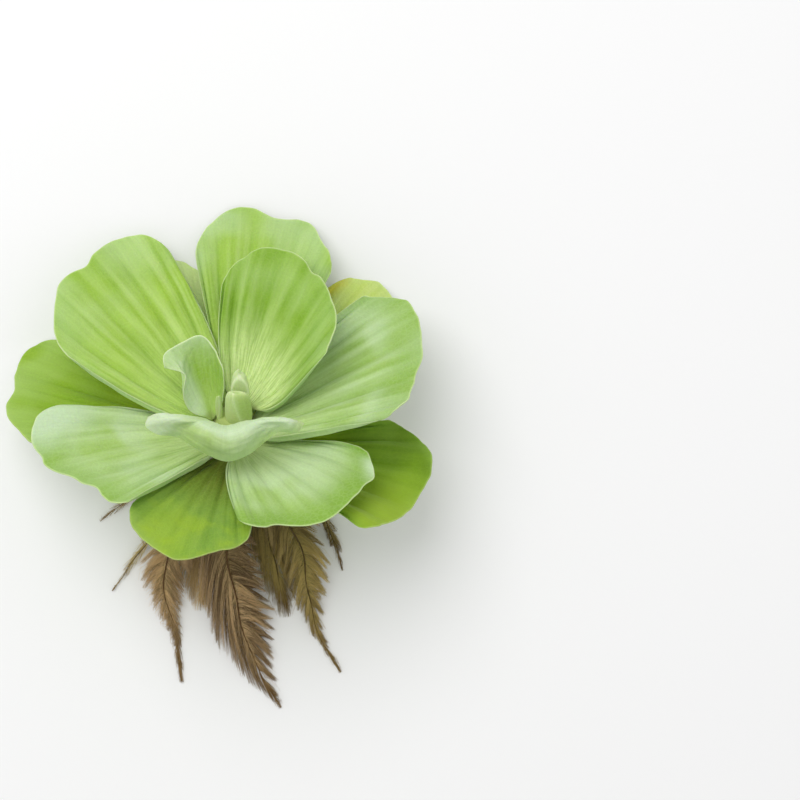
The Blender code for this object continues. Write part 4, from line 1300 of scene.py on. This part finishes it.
class Root:
    """One root: a tapering axis with thousands of rootlets that lie towards its tip."""

    STATIONS = 240                     # of the route
    AXIS_RINGS, AXIS_SIDES = 90, 8
    AXIS_END, AXIS_TAPER = 0.995, 0.85           # where it ends, how much thinner it is there
    AXIS_WANDER = 0.35
    KNOTS = 0.15                       # share of the axis' radius that they add or take
    SINK = 2.0                         # how far the axis runs into the stem
    COLLAR, COLLAR_LENGTH = 1.4, 1.5   # how much thicker it is where it leaves the stem
    LOWEST = 0.02                      # height that nothing goes below
    TUFT_CHANCE = 0.35                 # in half steps from tuft to tuft
    NARROWING, NARROWER = (0.62, 0.92), 0.7      # where tufts lie closer, and how much
    MIDDLE_REACH, OUTER_REACH = (0.8, 1.0), (0.5, 0.95)      # of layers, in half widths
    LAYER_STEP, MIDDLE_LAYER = 0.62, 1.15        # in half heights; the layer on the axis
    THREAD_RINGS, THREAD_SIDES = 4, 3
    THREAD_TAPER = 0.7
    THREAD_LOWEST = 0.12               # the same for a rootlet's middle
    JITTER, STRAY_JITTER = 0.3, 3.5    # of a rootlet's end; how much more a stray has
    STRAY_SHARE = 0.09                 # of the rootlets in a plume with loose at 1
    OUTREACH = 0.5                     # how far strays leave the plume's form

    def __init__(self, plume: Plume) -> None:
        """Work out the route and the directions across and above it.

        Args:
            plume: the root's form.
        """
        self.plume = plume
        self.rng = np.random.default_rng(plume.seed)
        self.share = np.linspace(0.0, 1.0, self.STATIONS)
        self.centre = curve_through(plume.route, self.share)
        ahead = unit(np.gradient(self.centre, axis=0))
        self.side = unit(np.cross(ahead, np.array([0.0, 0.0, 1.0])))
        self.above = np.cross(self.side, ahead)
        self.length = float(np.linalg.norm(np.diff(self.centre, axis=0), axis=1).sum())

    def read(self, share: np.ndarray) -> list[np.ndarray]:
        """The route's points, and the directions across and above it, at shares of it."""
        return [np.stack([np.interp(share, self.share, line[:, k]) for k in range(3)], axis=-1)
                for line in (self.centre, self.side, self.above)]

    def placed(self, points: np.ndarray) -> np.ndarray:
        """Move points to where they lie, none of them below the surface.

        Args:
            points: from the crown's foot, in millimetres.

        Returns:
            The points in metres, in one row.
        """
        points = points.copy()
        points[..., 2] = np.maximum(points[..., 2], self.LOWEST)
        points[..., :2] += np.array(CROWN)[:2]
        return points.reshape(-1, 3) * MILLIMETRE

    def axis(self) -> tuple[np.ndarray, list[np.ndarray], dict[str, np.ndarray]]:
        """Make the root itself: circles along the route, thinning to the tip.

        Its first circle lies in the stem, and it is thicker there.

        Returns:
            Its points, its faces and its values for the finish.
        """
        share = np.linspace(0.0, self.AXIS_END, self.AXIS_RINGS)
        turn = np.linspace(0.0, 2.0 * math.pi, self.AXIS_SIDES, endpoint=False)
        centre, side, above = self.read(share)
        knots = 1.0 + self.KNOTS * np.sin(share * self.length * 2.2) * np.sin(share * 37.0)
        radius = self.plume.thickness * (1.0 - self.AXIS_TAPER * share) * knots
        radius *= 1.0 + self.COLLAR * np.exp(-share * self.length / self.COLLAR_LENGTH)
        across = side[:, None] * np.cos(turn)[:, None] + above[:, None] * np.sin(turn)[:, None]
        inside = np.sin(math.pi * share)
        centre = centre + above * (0.12 * curve_through(self.plume.half_height, share)
                                   * inside)[:, None]
        wander = self.AXIS_WANDER * np.sin(23.0 * share + self.plume.seed) * inside
        centre = centre + side * wander[:, None]
        centre[0] += self.SINK * unit(centre[0] - centre[2])
        points = centre[:, None] + across * radius[:, None, None]
        nothing = np.zeros(self.AXIS_RINGS * self.AXIS_SIDES)
        values = {"outer": nothing, "tone": nothing, "light": nothing,
                  "down": np.repeat(share, self.AXIS_SIDES)}
        return self.placed(points), tube_faces(self.AXIS_RINGS, self.AXIS_SIDES, False), values

    def tufts(self) -> dict[str, np.ndarray]:
        """Where each tuft of rootlets leaves the axis and where its point lies.

        Tufts stand in three layers on both sides. Their points are evenly spaced along the
        outline, with a little chance, and each leaves the axis as far back as its angle
        asks. Near the root's tip the angle narrows.

        Returns:
            For each tuft its side, its start and point along the route, its reach across,
            its height in the plume and how pale it is.
        """
        plume, rng = self.plume, self.rng
        rings = 2 * plume.tufts + 1
        k, side, layer = (grid.ravel() for grid in np.meshgrid(
            np.arange(plume.tufts + 1), (-1.0, 1.0), np.arange(3), indexing="ij"))
        n = len(k)
        point = 2.0 * k + 0.9 * (side < 0.0) + 0.67 * layer + rng.normal(0.0, self.TUFT_CHANCE, n)
        point = np.clip(point / rings, 0.06, 0.997)
        angle = np.where(side < 0.0, plume.spread[0], plume.spread[1])
        angle = angle * (1.0 - self.NARROWER * smooth(point, *self.NARROWING))
        angle = angle * rng.uniform(0.85, 1.15, n)
        reach = curve_through(plume.half_width, point)
        reach = reach * np.where(layer == 1, rng.uniform(*self.MIDDLE_REACH, n),
                                 rng.uniform(*self.OUTER_REACH, n))
        forward = reach / np.tan(np.radians(angle)) / self.length
        height = (layer - self.MIDDLE_LAYER) * self.LAYER_STEP + rng.normal(0.0, 0.12, n)
        return {"side": side, "point": point, "start": np.maximum(point - forward, 0.0),
                "reach": reach, "height": height, "tone": rng.normal(0.0, 0.26, n)}

    def threads(self) -> dict[str, np.ndarray]:
        """Lay the rootlets' middles, which draw together in tufts.

        A thread leaves the axis somewhere along its tuft's foot and runs almost straight
        towards the tuft's point. It ends there or on the way. Strays run wide of their
        tuft and reach a little out of the plume.

        Returns:
            For each ring of each thread its middle, and how far it is along its tuft
            (done) and down the route; for each thread its tone, but for chance.
        """
        plume, rng = self.plume, self.rng
        n = plume.rootlets
        tufts = self.tufts()
        weight = tufts["reach"] + 1.5
        which = rng.choice(len(weight), n, p=weight / weight.sum())
        tuft = {key: numbers[which] for key, numbers in tufts.items()}
        stray = rng.random(n) < self.STRAY_SHARE * plume.loose
        beside_point = rng.uniform(-1.0, 1.0, n)
        run = 1.0 - 0.5 * rng.random(n) ** 1.5
        run = np.where(stray, rng.uniform(0.3, 0.95, n), run)

        t = np.linspace(0.0, 1.0, self.THREAD_RINGS)[:, None]
        done = run * t
        foot = 1.5 / (2 * plume.tufts + 1)
        share = (tuft["start"] + foot * beside_point * (1.0 - done)
                 + (tuft["point"] - tuft["start"]) * done**1.35)
        share = share + np.where(stray, rng.normal(0.0, 0.03, n), 0.0) * t
        share = np.clip(share, 0.004, 0.998)
        jitter = rng.normal(0.0, self.JITTER * plume.loose, n)
        jitter = jitter * np.where(stray, self.STRAY_JITTER, 1.0)
        wide = tuft["side"] * tuft["reach"] * done**0.85 + jitter * t * (1.0 - 0.2 * done)
        room = np.maximum(curve_through(plume.half_width, share), 0.05)
        room = room + np.where(stray, self.OUTREACH, 0.0) * t
        wide = np.clip(wide, -room, room)
        high = tuft["height"] * done**1.2 + rng.normal(0.0, 0.13, n) * np.sqrt(t)
        high = np.clip(high, -1.0, 1.0) * curve_through(plume.half_height, share)
        centre, side, above = self.read(share)
        middle = centre + side * wide[..., None] + above * high[..., None]
        middle[..., 2] = np.maximum(middle[..., 2], self.THREAD_LOWEST)
        strand = np.sin(9.0 * beside_point + 40.0 * tuft["point"]) * 0.22
        # painted highlight along the middle of each tuft and painted shade at its edges, between
        # tufts
        tuft_highlight_and_seam_shade = 0.45 * (1.0 - np.abs(beside_point)) - 0.25
        tone = tuft["tone"] + strand + tuft_highlight_and_seam_shade + np.where(stray, 0.3, 0.0)
        return {"middle": middle, "done": done, "down": share, "tone": tone}

    def fringe(self) -> tuple[np.ndarray, list[np.ndarray], dict[str, np.ndarray]]:
        """Make the rootlets: three-sided tapering threads round their middles.

        A few are twice as thick as the rest. Threads are paler in strands, and paler in the
        middle of their tuft and darker at its edges: painted highlight and shade.

        Returns:
            Their points, their faces and their values for the finish.
        """
        plume, rng = self.plume, self.rng
        n, rings, sides = plume.rootlets, self.THREAD_RINGS, self.THREAD_SIDES
        thread = self.threads()
        middle = thread["middle"]
        ahead = unit(np.gradient(middle, axis=0))
        beside = unit(np.cross(ahead, np.array([0.0, 0.0, 1.0]) + 0.001))
        upper = np.cross(beside, ahead)
        thin = 1.0 - self.THREAD_TAPER * np.linspace(0.0, 1.0, rings)[:, None]
        radius = plume.thread * (0.7 + 1.1 * rng.random(n) ** 4) * thin
        turn = np.arange(sides) * 2.0 * math.pi / sides + 0.5 * math.pi
        offset = (beside[:, :, None] * np.cos(turn)[:, None]
                  + upper[:, :, None] * np.sin(turn)[:, None])
        body = middle[:, :, None] + offset * radius[:, :, None, None]
        first = (np.arange(n) * rings * sides)[:, None, None]
        faces = [(some[None] + first).reshape(-1, some.shape[1])
                 for some in tube_faces(rings, sides, False)]
        ones = np.ones((n, rings, sides))
        tone = rng.random(n) ** 1.3 + thread["tone"]
        values = {"outer": (thread["done"].T[..., None] * ones).ravel(),
                  "tone": (np.clip(tone, 0.0, 1.0)[:, None, None] * ones).ravel(),
                  "down": (thread["down"].T[..., None] * ones).ravel(),
                  "light": plume.light * ones.ravel()}
        return self.placed(body.transpose(1, 0, 2, 3)), faces, values

    def build(self, material: Material) -> None:
        """Join the axis and its rootlets into one piece.

        Args:
            material: the roots' finish.
        """
        axis, fringe = self.axis(), self.fringe()
        points = np.concatenate([axis[0], fringe[0]])
        faces = axis[1] + [some + len(axis[0]) for some in fringe[1]]
        values = {key: np.concatenate([axis[2][key], fringe[2][key]]) for key in axis[2]}
        values["olive"] = np.full(len(points), self.plume.olive)
        name = self.plume.name
        Skin(points, faces, values).into_piece(name + "_rootlets", material, Slot.ROOT, name)


@dataclass
class RootSystem:
    """All the roots, in one finish."""

    plumes: tuple[Plume, ...] = PLUMES

    def build(self) -> None:
        """Make every root."""
        material = self.material()
        for plume in self.plumes:
            Root(plume).build(material)

    @staticmethod
    def material() -> Material:
        """Mix the roots' finish: olive-brown, with painted shade near the leaves, redder at the
        tip.

        Returns:
            The material.
        """
        material, sheet, shader = principled("rootlet_skin")
        outer, tone, down, olive, light = (
            sheet.value_of(name) for name in ("outer", "tone", "down", "olive", "light"))
        dark = sheet.mix(olive, (0.10, 0.044, 0.011), (0.085, 0.060, 0.008))
        pale = sheet.mix(olive, (0.90, 0.65, 0.36), (0.76, 0.62, 0.20))
        amount = sheet.math("MULTIPLY_ADD", light, 0.5, sheet.times(tone, 0.75))
        colour = sheet.mix(sheet.step(amount, 0.0, 1.1), dark, pale)
        colour = sheet.mix(sheet.step(outer, 0.6, 1.0, 0.0, 0.25), colour, (0.34, 0.25, 0.17))
        # painted shade: the roots darken near the crown, under the leaves
        shade_near_leaves = sheet.step(down, 0.15, 0.55, 0.7, 0.0)
        colour = sheet.mix(shade_near_leaves, colour, (0.115, 0.060, 0.012))
        near_tip = sheet.times(sheet.step(down, 0.65, 0.95, 0.0, 0.7),
                               sheet.step(light, 1.0, 1.3, 1.0, 0.1))
        colour = sheet.mix(near_tip, colour, (0.20, 0.11, 0.024))
        sheet.fill(shader, {"Base Color": colour, "Roughness": 0.6, "Specular IOR Level": 0.35})
        return material


@dataclass
class Stage:
    """Pale floor, soft light from all sides and the camera above."""

    camera_from_crown: tuple = (47.71, 13.14, 635.0)     # in millimetres
    lens: float = 100.0
    sensor: float = 36.0
    floor_half: float = 2.0
    floor_grey: float = 0.93
    sky: float = 0.68
    lamp_place: tuple = (-0.28, 0.5, 0.95)
    lamp_size: float = 0.9
    lamp_power: float = 5.9

    def build(self) -> None:
        """Lay the floor, hang the light, paint the sky and set the camera."""
        self.floor()
        self.light()
        world = bpy.data.worlds.new("soft_sky")
        world.use_nodes = True
        background = world.node_tree.nodes["Background"]
        background.inputs["Color"].default_value = (1.0, 1.0, 1.0, 1.0)
        background.inputs["Strength"].default_value = self.sky
        bpy.context.scene.world = world
        bpy.context.scene.view_settings.view_transform = "Standard"
        camera = bpy.data.cameras.new("camera")
        camera.lens = self.lens
        camera.sensor_width = self.sensor
        camera.clip_start = 0.01
        camera.clip_end = 20.0
        holder = put_in_scene("camera", camera)
        place = np.array(CROWN) + np.array(self.camera_from_crown)
        holder.location = (place * MILLIMETRE).tolist()
        bpy.context.scene.camera = holder

    def floor(self) -> None:
        """A plain pale sheet under the plant."""
        half, grey = self.floor_half, self.floor_grey
        mesh = bpy.data.meshes.new("floor")
        mesh.from_pydata([(-half, -half, 0.0), (half, -half, 0.0), (half, half, 0.0),
                          (-half, half, 0.0)], [], [(0, 1, 2, 3)])
        material, sheet, shader = principled("floor_paint")
        sheet.fill(shader, {"Base Color": (grey, grey, grey, 1.0), "Roughness": 0.9})
        mesh.materials.append(material)
        put_in_scene("floor", mesh)

    def light(self) -> None:
        """A large soft lamp, turned to the plant."""
        lamp = bpy.data.lights.new("key", "AREA")
        lamp.shape = "DISK"
        lamp.size = self.lamp_size
        lamp.energy = self.lamp_power
        holder = put_in_scene("key", lamp)
        x, y, z = holder.location = self.lamp_place
        holder.rotation_euler = (math.atan2(math.hypot(x, y), z), 0.0, math.atan2(x, -y))


def corners(box: tuple) -> list[list[float]]:
    """A box's two corners as plain lists."""
    return [[float(x) for x in corner] for corner in box]


def main() -> None:
    """Build the plant round its solids."""
    logging.basicConfig(level=logging.INFO, format="%(message)s")
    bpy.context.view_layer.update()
    for part in (Rosette(), Stem(), RootSystem(), Stage()):
        part.build()
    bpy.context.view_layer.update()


if __name__ == "__main__":
    main()
